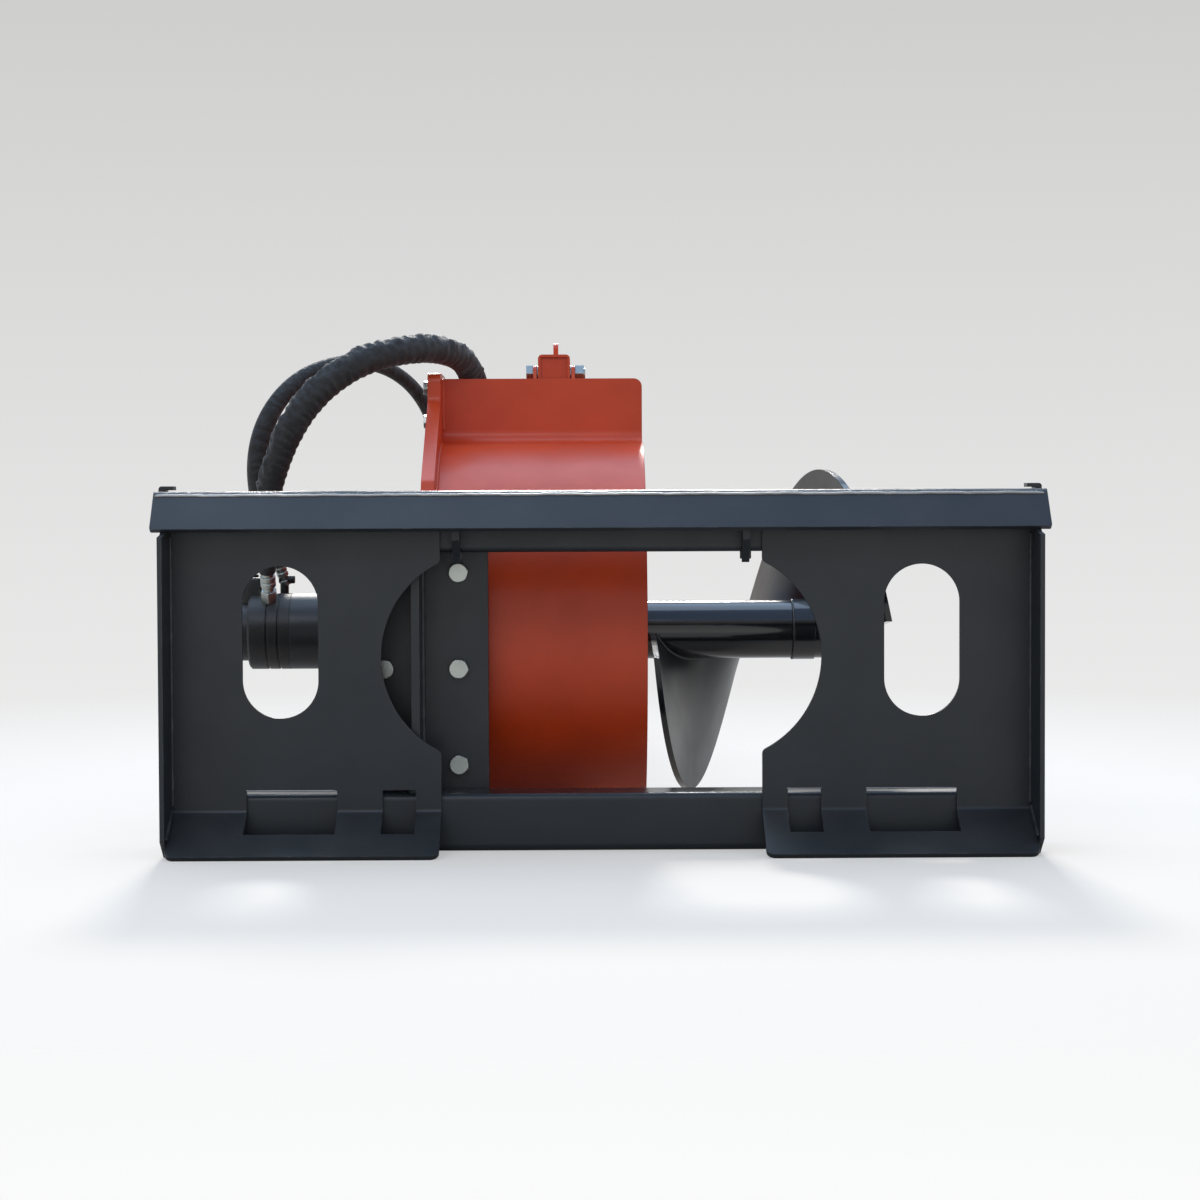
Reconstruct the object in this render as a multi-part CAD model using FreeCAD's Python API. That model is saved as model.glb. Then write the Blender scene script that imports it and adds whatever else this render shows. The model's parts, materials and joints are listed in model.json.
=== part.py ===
import FreeCAD, Part
import math
import os

# Skid steer trencher: a digging head with chain, boom, side auger and crumber on a
# quick-attach frame. Millimetres. X runs along the drive shaft, towards the auger.
# Y runs away from the loader, towards the tip of the boom. Z is up.
# The origin is the middle of the frame's width, on the loader side of its plates, at ground level.

V = FreeCAD.Vector

# Quick-attach frame
LIP_W = 1150.0
LIP_ANGLE = 50.0
LIP_TOP_Z = 468.0
LIP_LEG = 58.0
LIP_FOOT_Z = 421.0
LIP_CORNER_R = 3.0
LIP_OVERHANG = 13.0
END_T = 6.0
END_DEPTH = 72.0
END_STEP_Z = 23.0
PLATE_T = 6.4
PLATE_INNER_X = 208.0
BEND_R = 6.0
LEDGE_ANGLE = 30.0
LEDGE_LEN = 95.0
LEDGE_CORNER_R = 12.0
SLOT_W = 98.0
SLOT_H = 197.0
SLOT_X = 415.0
SLOT_Z = 272.7
ARC_R = 136.0
ARC_X = 149.0
ARC_Z = 253.0
ARC_LEAD_R = 8.0
PIN_SLOT_UP = 27.5
PIN_SLOT_OUT = 48.0
WIDE_SLOT_W = 117.0
WIDE_SLOT_X = 401.5
NARROW_SLOT_W = 43.0
NARROW_SLOT_X = 262.5
TUBE = 75.0
TUBE_WALL = 6.0
TUBE_R = 9.0
UPPER_TUBE_Z = 388.0
RIB_X = 187.0
RIB_T = 10.0
RIB_DEPTH = 22.0
RIB_FOOT_Z = 374.0
HOOK_T = 9.0
HOOK_CORNER_R = 4.0
HOOK_TOP_Z = 475.0
HOOK_FOOT_Z = 425.0
HOOK_FLANGE = 10.0
HOOK_LEN = 26.0

# Bolted joint between the frame and the digging head
FLANGE_X0 = -330.0
FLANGE_X1 = -149.0
FLANGE_T = 12.0
FLANGE_Z0 = 62.0
FLANGE_Z1 = 402.0
WEB_X = -241.5
WEB_T = 11.0
WEB_REAR_Y = 14.0
MOUNT_T = 14.0
BOLT_XS = (-286.0, -188.0)
BOLT_Z0 = 106.0
BOLT_PITCH = 127.0
BOLT_ROWS = 3
BOLT_R = 8.0
BOLT_HOLE_R = 8.5
HEX_AF = 24.0
HEX_H = 10.0
NUT_H = 13.0

# Digging head
SHAFT_Z = 270.0
GUARD_GAP = 4.6
SHAFT_R = 28.0
HOUSING_X0 = -438.0
SIDE_X0 = -241.0
SIDE_T = 18.0
SIDE_CORNER_R = 14.0
HOUSING_R = 54.0
HOUSING_BORE_R = 45.0
HOUSING_FLANGE_R = 84.0
HOUSING_FLANGE_T = 16.0
HOUSING_BOLT_PCR = 70.0
HOUSING_BOLTS = 6
HOUSING_BOLT_R = 6.0
GUSSET_RISE = 20.0
GUSSET_T = 12.0
BEARING_W = 32.0
BEARING_IN = 50.0
RUN_FIT = 0.1
MOTOR_X0 = -498.0
MOTOR_CAP_X0 = -528.0
MOTOR_CAP_R = 42.0
MOTOR_SPIGOT = 14.0
GUARD_R = 266.0
GUARD_T = 6.0
GUARD_X1 = 63.0
GUARD_FOOT_ANGLE = 58.0
GUARD_NECK_R = 20.0
GUARD_STRIP_H = 74.0
STRIP_BOLT_DROP = 14.0
STRIP_BOLT_PITCH = 48.0
STRIP_BOLT_AF = 18.0
STRIP_BOLT_H = 7.0
GUARD_CORNER_R = 12.0
CLEAR = 0.3

# Drive train
TEETH = 12
CHAIN_PITCH = 50.8
CHAIN_X = -63.0
SPROCKET_T = 14.0
TOOTH_RISE = 11.0
TOOTH_TIP_W = 9.0
HUB_R = 60.0
HUB_LEN = 34.0
HUB_BOLTS = 6
HUB_BOLT_PCR = 54.0
HUB_BOLT_R = 6.0
AUGER_X0 = -40.0
AUGER_END_X = 400.0
AUGER_TUBE_R = 41.5
AUGER_WALL = 8.0
AUGER_PLUG = 95.0
SLEEVE_X = 277.0
SLEEVE_R = 43.5
SLEEVE_LEN = 30.0
FLIGHT_R = 228.0
FLIGHT_T = 8.0
FLIGHT_STATIONS = [(7.0, 72.0), (90.0, 128.0), (180.0, 221.0), (270.0, 314.0), (355.0, 386.0)]
FLIGHT_STEPS = 36

# Chain
LINKS = 52
LINK_HALF_H = 16.0
LINK_PLATE_T = 7.0
LINK_END = 14.0
BARREL_R = 11.0
INNER_HALF = 19.0
NOSE_PITCH_R = 78.0
CUTTER_BASE_T = 8.0
CUTTER_BASE_HALF = 18.0
CUTTER_H = 75.0
CUTTER_T = 10.0
CUTTER_REACH = 98.0
CUTTER_LEAN = 16.0
WING_FOOT = 34.0

# Boom
BOOM_W = 60.0
BOOM_H = 100.0
BOOM_WALL = 8.0
TENSION_BACK = 20.0
TENSION_OUT = 50.0
NOSE_GAP = 6.0
BASE_START = 176.0
BASE_END = 520.0
CROSS_LEN = 80.0
CROSS_HALF_H = 38.0
WEAR_HALF_W = 15.0
WEAR_GAP = 0.4
ROLLER_HALF_W = 17.0
ARM_T = 12.0
ARM_HALF_H = 30.0
AXLE_R = 15.0
BUSH_R = 26.0
SCREW_R = 8.0
SCREW_OUT = 18.0
SCREW_END = 420.0
LUG_T = 14.0
LUG_HALF_H = 18.0

# Crumber
ARM_TUBE = 46.0
ARM_WALL = 4.0
ARM_LEN = 831.0
ARM_CAP_SET = 4.0
ARM_BELOW_TOP = 11.0
PIVOT_IN = 18.0
PIVOT_UP = 19.0
PIVOT_R = 8.0
EAR_GAP = 2.0
EAR_T = 5.0
EAR_H = 11.0
EAR_R = 15.0
REST_T = 12.0
REST_IN = 57.0
REST_LEN = 54.0
BAR_FIT = 0.3
BAR_KEEP = 130.0
CRUMBER_SLIDE = 150.0
SHOE_GAP = 60.0
SHOE_T = 8.0
SHOE_SIDE_GAP = 8.0
SHOE_LOW = 40.0
SHOE_HIGH = 24.0
LEG_D = 40.0
LEG_PAST_NOSE = 30.0
BRACE = 110.0
RIB_HALF = 80.0
SKIRT_DEPTH = 34.0
SKIRT_DROP = 8.0
CHEEK_LOW = 68.0
CHEEK_HIGH = 18.0
CLAMP_IN = 40.0
CLAMP_PITCH = 50.0
EYE_R = 9.0

# Hydraulic hoses: diameters, where they leave their fittings and the points each one passes
HOSE_A_D = 36.0
HOSE_B_D = 21.0
HOSE_A_ROUTE = [
    (-468, 327, 356), (-468, 280, 442), (-437, 244, 538), (-394, 243, 604), (-332, 261, 650),
    (-260, 302, 670), (-206, 368, 668), (-181, 449, 645), (-171, 515, 587), (-180, 600, 559),
    (-204, 665, 499), (-236, 718, 428), (-269, 756, 349), (-300, 791, 268), (-330, 827, 190),
    (-354, 869, 119), (-375, 923, 64), (-391, 983, 30), (-405, 1040, 18), (-418, 1085, 18),
]
HOSE_B_ROUTE = [
    (-459, 404, 363), (-474, 388, 412), (-484, 374, 461), (-487, 366, 510), (-478, 367, 558),
    (-457, 378, 600), (-426, 401, 633), (-388, 435, 653), (-350, 475, 660), (-314, 518, 654),
    (-283, 561, 635), (-259, 598, 604), (-243, 629, 561), (-237, 652, 508), (-239, 669, 446),
    (-250, 683, 377), (-265, 695, 305), (-286, 709, 233), (-310, 726, 165), (-338, 748, 105),
    (-370, 777, 59), (-403, 814, 27), (-436, 862, 10.5), (-468, 925, 10.5),
]
FITTING_H = 46.0
FERRULE_WALL = 3.5
FITTING_POST = 45.0
COUPLER_LEN = 70.0

# The bend's height puts the ledge's lower corner on the ground.
BEND_Z = LEDGE_LEN * math.sin(math.radians(LEDGE_ANGLE)) + PLATE_T * math.cos(math.radians(LEDGE_ANGLE))
FRAME_W = LIP_W - 2 * LIP_OVERHANG
GUARD_IN_X0 = SIDE_X0 + SIDE_T
BOOM_START = BASE_START + CROSS_LEN + TENSION_BACK + NUT_H + 1.0
TUBE_Y1 = PLATE_T + TUBE
FLANGE_Y1 = TUBE_Y1 + FLANGE_T
MOUNT_Y1 = FLANGE_Y1 + MOUNT_T
UPPER_TOP_Z = UPPER_TUBE_Z + TUBE
SHAFT_Y = MOUNT_Y1 + GUARD_GAP + GUARD_R
GUARD_TOP_Z = SHAFT_Z + GUARD_R + GUARD_NECK_R + GUARD_STRIP_H
ARM_Y0 = SHAFT_Y + GUARD_NECK_R + GUARD_T + 5.0
ARM_Z0 = GUARD_TOP_Z - ARM_BELOW_TOP
ARM_END_Y = ARM_Y0 + ARM_LEN
BAR_Y0 = ARM_END_Y - CRUMBER_SLIDE - BAR_KEEP
PIVOT_Y = ARM_Y0 + PIVOT_IN
PIVOT_Z = ARM_Z0 + PIVOT_UP
EAR_TOP_Z = PIVOT_Z + EAR_H
REST_Y0 = ARM_Y0 + REST_IN
REST_Y1 = REST_Y0 + REST_LEN
SPROCKET_R = CHAIN_PITCH / (2 * math.sin(math.pi / TEETH))
ROLLER_R = NOSE_PITCH_R - BARREL_R - WEAR_GAP
CUTTER_TOP = LINK_HALF_H + CUTTER_BASE_T + CUTTER_H


# Helpers

def box(x0, x1, y0, y1, z0, z1):
    return Part.makeBox(x1 - x0, y1 - y0, z1 - z0, V(x0, y0, z0))


def rod_x(x0, x1, y, z, r):
    return Part.makeCylinder(r, x1 - x0, V(x0, y, z), V(1, 0, 0))


def rod_y(y0, y1, x, z, r):
    return Part.makeCylinder(r, y1 - y0, V(x, y0, z), V(0, 1, 0))


def ring_x(x0, x1, y, z, r_out, r_in):
    return rod_x(x0, x1, y, z, r_out).cut(rod_x(x0 - 1, x1 + 1, y, z, r_in))


def prism_x(points, x0, x1):
    """A plate across X from an outline of (y, z) points."""
    wire = Part.makePolygon([V(x0, y, z) for y, z in points + points[:1]])
    return Part.Face(wire).extrude(V(x1 - x0, 0, 0))


def prism_y(points, y0, y1):
    """A plate across Y from an outline of (x, z) points."""
    wire = Part.makePolygon([V(x, y0, z) for x, z in points + points[:1]])
    return Part.Face(wire).extrude(V(0, y1 - y0, 0))


def edges_along(shape, axis, test):
    """Straight edges parallel to an axis whose middle passes the test."""
    found = []
    for edge in shape.Edges:
        if edge.Curve.TypeId != "Part::GeomLine":
            continue
        way = edge.Vertexes[-1].Point.sub(edge.Vertexes[0].Point)
        if way.cross(axis).Length < 1e-6 and test(edge.CenterOfMass):
            found.append(edge)
    return found


def hex_y(x, z, y0, y1, across_flats):
    r = across_flats / math.sqrt(3)
    return prism_y([on_circle(x, z, r, 60 * i) for i in range(6)], y0, y1)


def hex_x(y, z, x0, x1, across_flats):
    r = across_flats / math.sqrt(3)
    return prism_x([on_circle(y, z, r, 60 * i) for i in range(6)], x0, x1)


def on_circle(y, z, r, angle):
    a = math.radians(angle)
    return y + r * math.cos(a), z + r * math.sin(a)


def arc_edge(y, z, r, a0, a1, x=0.0):
    """An arc in a plane across X, from angle a0 to a1."""
    ends = [on_circle(y, z, r, a) for a in (a0, (a0 + a1) / 2, a1)]
    return Part.Arc(*[V(x, py, pz) for py, pz in ends]).toShape()


def line_edge(p, q, x=0.0):
    return Part.makeLine(V(x, p[0], p[1]), V(x, q[0], q[1]))


def save(node, *solids):
    shape = solids[0] if len(solids) == 1 else Part.makeCompound(list(solids))
    shape.exportStep("parts/" + node + ".step")
    return shape


# Frame

def bent_lip():
    """Folded plate that hooks over the loader's top edge: a short leg, a round bend and a falling leg."""
    r_in = 4.0
    r_out = r_in + PLATE_T
    cy, cz = PLATE_T - r_out, LIP_TOP_Z - r_out
    turn = 90.0 + LIP_ANGLE
    fall = (-math.cos(math.radians(LIP_ANGLE)), -math.sin(math.radians(LIP_ANGLE)))
    out0 = on_circle(cy, cz, r_out, turn)
    in0 = on_circle(cy, cz, r_in, turn)
    out1 = (out0[0] + LIP_LEG * fall[0], out0[1] + LIP_LEG * fall[1])
    in1 = (in0[0] + LIP_LEG * fall[0], in0[1] + LIP_LEG * fall[1])
    x0 = -LIP_W / 2
    wire = Part.Wire([
        line_edge((PLATE_T, LIP_FOOT_Z), (PLATE_T, cz), x0),
        arc_edge(cy, cz, r_out, 0, turn, x0),
        line_edge(out0, out1, x0),
        line_edge(out1, in1, x0),
        line_edge(in1, in0, x0),
        arc_edge(cy, cz, r_in, turn, 0, x0),
        line_edge((0, cz), (0, LIP_FOOT_Z), x0),
        line_edge((0, LIP_FOOT_Z), (PLATE_T, LIP_FOOT_Z), x0),
    ])
    lip = Part.Face(wire).extrude(V(LIP_W, 0, 0))
    middle_y = (out1[0] + in1[0]) / 2
    corners = [e for e in lip.Edges if abs(e.CenterOfMass.y - middle_y) < 0.1 and e.Length < PLATE_T + 0.1]
    return lip.makeFillet(LIP_CORNER_R, corners), in1, in0


def loader_plate(side):
    """Half of the coupling plate, bent at the foot, with its slots and the arc on its inner edge."""
    a = math.radians(LEDGE_ANGLE)
    set_back = BEND_R * math.tan((math.pi / 2 - a) / 2)
    bend_cz = BEND_Z + set_back
    r_out = BEND_R + PLATE_T
    x0 = PLATE_INNER_X
    way = (-math.cos(a), -math.sin(a))
    swing = -(90.0 - LEDGE_ANGLE)
    in1 = on_circle(-BEND_R, bend_cz, BEND_R, swing)
    out1 = on_circle(-BEND_R, bend_cz, r_out, swing)
    run = LEDGE_LEN - set_back
    in2 = (in1[0] + run * way[0], in1[1] + run * way[1])
    out2 = (out1[0] + run * way[0], out1[1] + run * way[1])
    wire = Part.Wire([
        line_edge((0, LIP_FOOT_Z), (0, bend_cz), x0),
        arc_edge(-BEND_R, bend_cz, BEND_R, 0, swing, x0),
        line_edge(in1, in2, x0),
        line_edge(in2, out2, x0),
        line_edge(out2, out1, x0),
        arc_edge(-BEND_R, bend_cz, r_out, swing, 0, x0),
        line_edge((PLATE_T, bend_cz), (PLATE_T, LIP_FOOT_Z), x0),
        line_edge((PLATE_T, LIP_FOOT_Z), (0, LIP_FOOT_Z), x0),
    ])
    plate = Part.Face(wire).extrude(V(FRAME_W / 2 - END_T - x0, 0, 0))
    tip_y = (in2[0] + out2[0]) / 2
    corners = [e for e in plate.Edges if abs(e.CenterOfMass.y - tip_y) < 0.1 and e.Length < PLATE_T + 0.1]
    plate = plate.makeFillet(LEDGE_CORNER_R, corners)
    plate = plate.cut(rod_y(-1, PLATE_T + 1, ARC_X, ARC_Z, ARC_R))
    on_edge = edges_along(plate, V(0, 1, 0), lambda c: abs(c.x - PLATE_INNER_X) < 0.1)
    leads = [e for e in on_edge if BEND_Z + 9 < e.CenterOfMass.z < LIP_FOOT_Z - 9]
    plate = plate.makeFillet(ARC_LEAD_R, leads)
    half = SLOT_H / 2 - SLOT_W / 2
    slot = box(SLOT_X - SLOT_W / 2, SLOT_X + SLOT_W / 2, -1, PLATE_T + 1, SLOT_Z - half, SLOT_Z + half)
    slot = slot.fuse(rod_y(-1, PLATE_T + 1, SLOT_X, SLOT_Z - half, SLOT_W / 2))
    slot = slot.fuse(rod_y(-1, PLATE_T + 1, SLOT_X, SLOT_Z + half, SLOT_W / 2))
    plate = plate.cut(slot)
    reach = PIN_SLOT_OUT * math.cos(a)
    for middle, width in ((WIDE_SLOT_X, WIDE_SLOT_W), (NARROW_SLOT_X, NARROW_SLOT_W)):
        x0, x1 = middle - width / 2, middle + width / 2
        plate = plate.cut(box(x0, x1, -reach, PLATE_T + 1, -1, BEND_Z + PIN_SLOT_UP))
    return plate if side > 0 else plate.mirror(V(0, 0, 0), V(1, 0, 0))


def end_plate(side, lip_tip, lip_root):
    """Closes one end of the frame, under the lip and round both tubes."""
    points = [
        (-END_DEPTH, END_STEP_Z), (-END_DEPTH, lip_tip[1] - 6), (lip_tip[0] - 4, lip_tip[1] - 3),
        (lip_tip[0] + CLEAR, lip_tip[1] - CLEAR), (lip_root[0], lip_root[1] - 2 * CLEAR),
        (-CLEAR, lip_root[1] - 6), (-CLEAR, LIP_FOOT_Z - CLEAR), (PLATE_T + CLEAR, LIP_FOOT_Z - CLEAR),
        (PLATE_T + CLEAR, UPPER_TOP_Z), (TUBE_Y1 - 10, UPPER_TOP_Z), (TUBE_Y1, UPPER_TOP_Z - 10),
        (TUBE_Y1, 10), (TUBE_Y1 - 10, 0), (PLATE_T, 0), (-40, 0),
    ]
    inner = FRAME_W / 2 - END_T
    plate = prism_x(points, inner, FRAME_W / 2)
    return plate if side > 0 else plate.mirror(V(0, 0, 0), V(1, 0, 0))


def square_tube(z0):
    inner = FRAME_W / 2 - END_T
    tube = box(-inner, inner, PLATE_T, TUBE_Y1, z0, z0 + TUBE)
    tube = tube.makeFillet(TUBE_R, edges_along(tube, V(1, 0, 0), lambda c: True))
    w = TUBE_WALL
    bore = box(-inner - 1, inner + 1, PLATE_T + w, TUBE_Y1 - w, z0 + w, z0 + TUBE - w)
    bore = bore.makeFillet(TUBE_R - w, edges_along(bore, V(1, 0, 0), lambda c: True))
    return tube.cut(bore)


def pocket_rib(x, lip_tip, lip_root):
    slope = (lip_root[1] - lip_tip[1]) / (lip_root[0] - lip_tip[0])
    top_y = -RIB_DEPTH
    top_z = lip_tip[1] + slope * (top_y - lip_tip[0]) - CLEAR
    points = [
        (-CLEAR, RIB_FOOT_Z + 8), (PLATE_T, RIB_FOOT_Z), (PLATE_T, LIP_FOOT_Z - CLEAR),
        (-CLEAR, LIP_FOOT_Z - CLEAR), (-CLEAR, lip_root[1] - 6), (lip_root[0], lip_root[1] - 2 * CLEAR),
        (top_y, top_z), (top_y, RIB_FOOT_Z + 30),
    ]
    return prism_x(points, x - RIB_T / 2, x + RIB_T / 2)


def end_hook(side):
    x = FRAME_W / 2
    y0 = PLATE_T + CLEAR
    post = box(x, x + HOOK_T, y0, y0 + HOOK_LEN, HOOK_FOOT_Z, HOOK_TOP_Z)
    flange = box(x - HOOK_FLANGE, x + HOOK_T, y0, y0 + HOOK_LEN, HOOK_TOP_Z - 5, HOOK_TOP_Z)
    hook = post.fuse(flange)
    hook = hook.removeSplitter()
    outer = edges_along(hook, V(0, 1, 0), lambda c: c.x > x + HOOK_T - 1 and c.z > HOOK_TOP_Z - 1)
    hook = hook.makeFillet(HOOK_CORNER_R, outer)
    return hook if side > 0 else hook.mirror(V(0, 0, 0), V(1, 0, 0))


def bolt_places():
    return [(x, BOLT_Z0 + BOLT_PITCH * row) for x in BOLT_XS for row in range(BOLT_ROWS)]


def drilled(plate, y0, y1):
    for x, z in bolt_places():
        plate = plate.cut(rod_y(y0 - 1, y1 + 1, x, z, BOLT_HOLE_R))
    return plate


def mount_bolt(x, z):
    """Hex bolt through the frame's flange and the head's plate; beside the guard it has no nut."""
    bolt = hex_y(x, z, TUBE_Y1 - HEX_H, TUBE_Y1, HEX_AF)
    if x > SIDE_X0:
        return bolt.fuse(rod_y(TUBE_Y1 - 1, MOUNT_Y1, x, z, BOLT_R))
    bolt = bolt.fuse(rod_y(TUBE_Y1 - 1, MOUNT_Y1 + NUT_H + 3, x, z, BOLT_R))
    return bolt.fuse(hex_y(x, z, MOUNT_Y1, MOUNT_Y1 + NUT_H, HEX_AF))


# Digging head

def side_plate():
    """Thick side plate that carries the bearing housing, the guard and the boom."""
    r, high = GUARD_R, GUARD_TOP_Z + 6
    points = [
        (MOUNT_Y1, FLANGE_Z0 + 22), (MOUNT_Y1, FLANGE_Z1 - 6), (SHAFT_Y - 0.82 * r, SHAFT_Z + 0.8 * r),
        (SHAFT_Y - 0.16 * r, high - 0.15 * r), (SHAFT_Y - 0.16 * r, high), (SHAFT_Y + 0.35 * r, high),
        (SHAFT_Y + 0.83 * r, SHAFT_Z + 0.94 * r), (SHAFT_Y + r, SHAFT_Z + 0.49 * r),
        (SHAFT_Y + r, SHAFT_Z - 0.08 * r), (SHAFT_Y + 0.68 * r, SHAFT_Z - 0.53 * r),
        (SHAFT_Y - 0.29 * r, SHAFT_Z - 0.7 * r),
    ]
    plate = prism_x(points, SIDE_X0, GUARD_IN_X0)
    sharp = edges_along(plate, V(1, 0, 0), lambda c: c.y > MOUNT_Y1 + 40)
    plate = plate.makeFillet(SIDE_CORNER_R, sharp)
    return plate.cut(rod_x(SIDE_X0 - 1, GUARD_IN_X0 + 1, SHAFT_Y, SHAFT_Z, HOUSING_BORE_R))


def guard_shell():
    """Rolled guard round the back of the sprocket, with a neck and a straight strip on top."""
    foot = 180.0 + GUARD_FOOT_ANGLE
    r_in = GUARD_R - GUARD_T
    neck_z = SHAFT_Z + GUARD_R + GUARD_NECK_R
    strip_y = SHAFT_Y + GUARD_NECK_R
    x0 = GUARD_IN_X0
    wire = Part.Wire([
        arc_edge(SHAFT_Y, SHAFT_Z, GUARD_R, foot, 90, x0),
        arc_edge(SHAFT_Y, neck_z, GUARD_NECK_R, -90, 0, x0),
        line_edge((strip_y, neck_z), (strip_y, GUARD_TOP_Z), x0),
        line_edge((strip_y, GUARD_TOP_Z), (strip_y + GUARD_T, GUARD_TOP_Z), x0),
        line_edge((strip_y + GUARD_T, GUARD_TOP_Z), (strip_y + GUARD_T, neck_z), x0),
        arc_edge(SHAFT_Y, neck_z, GUARD_NECK_R + GUARD_T, 0, -90, x0),
        arc_edge(SHAFT_Y, SHAFT_Z, r_in, 90, foot, x0),
        line_edge(on_circle(SHAFT_Y, SHAFT_Z, r_in, foot), on_circle(SHAFT_Y, SHAFT_Z, GUARD_R, foot), x0),
    ])
    guard = Part.Face(wire).extrude(V(GUARD_X1 - x0, 0, 0))
    corner = edges_along(guard, V(0, 1, 0), lambda c: c.x > GUARD_X1 - 0.1 and c.z > GUARD_TOP_Z - 0.1)
    return guard.makeFillet(GUARD_CORNER_R, corner)


def bearing_housing():
    body = rod_x(HOUSING_X0, SIDE_X0, SHAFT_Y, SHAFT_Z, HOUSING_R)
    flange = rod_x(SIDE_X0 - HOUSING_FLANGE_T, SIDE_X0, SHAFT_Y, SHAFT_Z, HOUSING_FLANGE_R)
    housing = body.fuse(flange)
    return housing.cut(rod_x(HOUSING_X0 - 1, SIDE_X0 + 1, SHAFT_Y, SHAFT_Z, HOUSING_BORE_R))


def housing_gusset():
    """Level plate from the mounting plate to the bearing housing."""
    low, high = SHAFT_Z + GUSSET_RISE, SHAFT_Z + GUSSET_RISE + GUSSET_T
    plate = box(FLANGE_X0, SIDE_X0 - HOUSING_FLANGE_T - HEX_H, MOUNT_Y1, SHAFT_Y, low, high)
    return plate.cut(rod_x(FLANGE_X0 - 1, SIDE_X0, SHAFT_Y, SHAFT_Z, HOUSING_R))


def ring_of_bolts(x_face, head_way, count, pcr, r, phase=0.0):
    """Hex heads on a circle round the shaft axis; each stands on x_face."""
    screws = []
    for i in range(count):
        y, z = on_circle(SHAFT_Y, SHAFT_Z, pcr, phase + 360.0 * i / count)
        head = sorted((x_face, x_face + head_way * r * 1.2))
        screws.append(hex_x(y, z, head[0], head[1], 3.0 * r))
    return screws


def motor_body():
    x = HOUSING_X0
    profile = [
        (MOTOR_X0, 0), (MOTOR_X0, HOUSING_R - 3), (MOTOR_X0 + 3, HOUSING_R), (x - 34, HOUSING_R),
        (x - 34, HOUSING_R - 2), (x - 31, HOUSING_R - 2), (x - 31, HOUSING_R), (x - 18, HOUSING_R),
        (x - 18, HOUSING_R - 2), (x - 15, HOUSING_R - 2), (x - 15, HOUSING_R), (x, HOUSING_R),
        (x, HOUSING_BORE_R - CLEAR), (x + MOTOR_SPIGOT, HOUSING_BORE_R - CLEAR), (x + MOTOR_SPIGOT, 0),
    ]
    return turned(profile)


def turned(profile):
    """A solid of revolution about the shaft axis from (x, radius) points."""
    wire = Part.makePolygon([V(px, SHAFT_Y, SHAFT_Z + pr) for px, pr in profile + profile[:1]])
    return Part.Face(wire).revolve(V(0, SHAFT_Y, SHAFT_Z), V(1, 0, 0), 360)


def motor_cap():
    profile = [
        (MOTOR_CAP_X0, 0), (MOTOR_CAP_X0, MOTOR_CAP_R - 8), (MOTOR_CAP_X0 + 6, MOTOR_CAP_R),
        (MOTOR_X0, MOTOR_CAP_R), (MOTOR_X0, 0),
    ]
    return turned(profile)


def sprocket(phase):
    """Tooth wheel whose gullets hold the chain's barrels."""
    gullet = BARREL_R + 0.6
    step = 360.0 / TEETH
    x0 = CHAIN_X - SPROCKET_T / 2
    edges = []
    tip_half = math.degrees(TOOTH_TIP_W / 2 / (SPROCKET_R + TOOTH_RISE))
    starts = []
    for i in range(TEETH):
        a = phase + step * i
        gy, gz = on_circle(SHAFT_Y, SHAFT_Z, SPROCKET_R, a)
        p = on_circle(gy, gz, gullet, a + 180 + 72)
        m = on_circle(gy, gz, gullet, a + 180)
        q = on_circle(gy, gz, gullet, a + 180 - 72)
        t0 = on_circle(SHAFT_Y, SHAFT_Z, SPROCKET_R + TOOTH_RISE, a + step / 2 - tip_half)
        t1 = on_circle(SHAFT_Y, SHAFT_Z, SPROCKET_R + TOOTH_RISE, a + step / 2 + tip_half)
        starts.append((p, m, q, t0, t1))
    for i, (p, m, q, t0, t1) in enumerate(starts):
        following = starts[(i + 1) % TEETH][0]
        edges.append(Part.Arc(*[V(x0, y, z) for y, z in (p, m, q)]).toShape())
        edges.append(line_edge(q, t0, x0))
        edges.append(line_edge(t0, t1, x0))
        edges.append(line_edge(t1, following, x0))
    wheel = Part.Face(Part.Wire(edges)).extrude(V(SPROCKET_T, 0, 0))
    return wheel.cut(rod_x(x0 - 1, x0 + SPROCKET_T + 1, SHAFT_Y, SHAFT_Z, SHAFT_R))


def auger_tube():
    tube = ring_x(AUGER_X0, AUGER_END_X, SHAFT_Y, SHAFT_Z, AUGER_TUBE_R, AUGER_TUBE_R - AUGER_WALL)
    plug = ring_x(AUGER_X0, AUGER_X0 + AUGER_PLUG, SHAFT_Y, SHAFT_Z, AUGER_TUBE_R - AUGER_WALL / 2, SHAFT_R)
    cap = rod_x(AUGER_END_X - 6, AUGER_END_X, SHAFT_Y, SHAFT_Z, AUGER_TUBE_R - AUGER_WALL / 2)
    return tube.fuse(plug).fuse(cap).removeSplitter()


def flight_x(angle):
    """Place along the shaft of the flight's left face, from its stations, at a turn angle in degrees."""
    total = 0.0
    for a, x in FLIGHT_STATIONS:
        weight = x
        for b, _ in FLIGHT_STATIONS:
            if b != a:
                weight *= (angle - b) / (a - b)
        total += weight
    return total


def flight_edge(radius):
    """Edge of the flight at one radius. It starts on the loader side and goes down and round."""
    first, last = FLIGHT_STATIONS[0][0], FLIGHT_STATIONS[-1][0]
    points = []
    for i in range(FLIGHT_STEPS + 1):
        angle = first + (last - first) * i / FLIGHT_STEPS
        a = math.radians(angle)
        points.append(V(flight_x(angle), SHAFT_Y - radius * math.cos(a), SHAFT_Z - radius * math.sin(a)))
    curve = Part.BSplineCurve()
    curve.interpolate(points)
    return curve.toShape()


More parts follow.
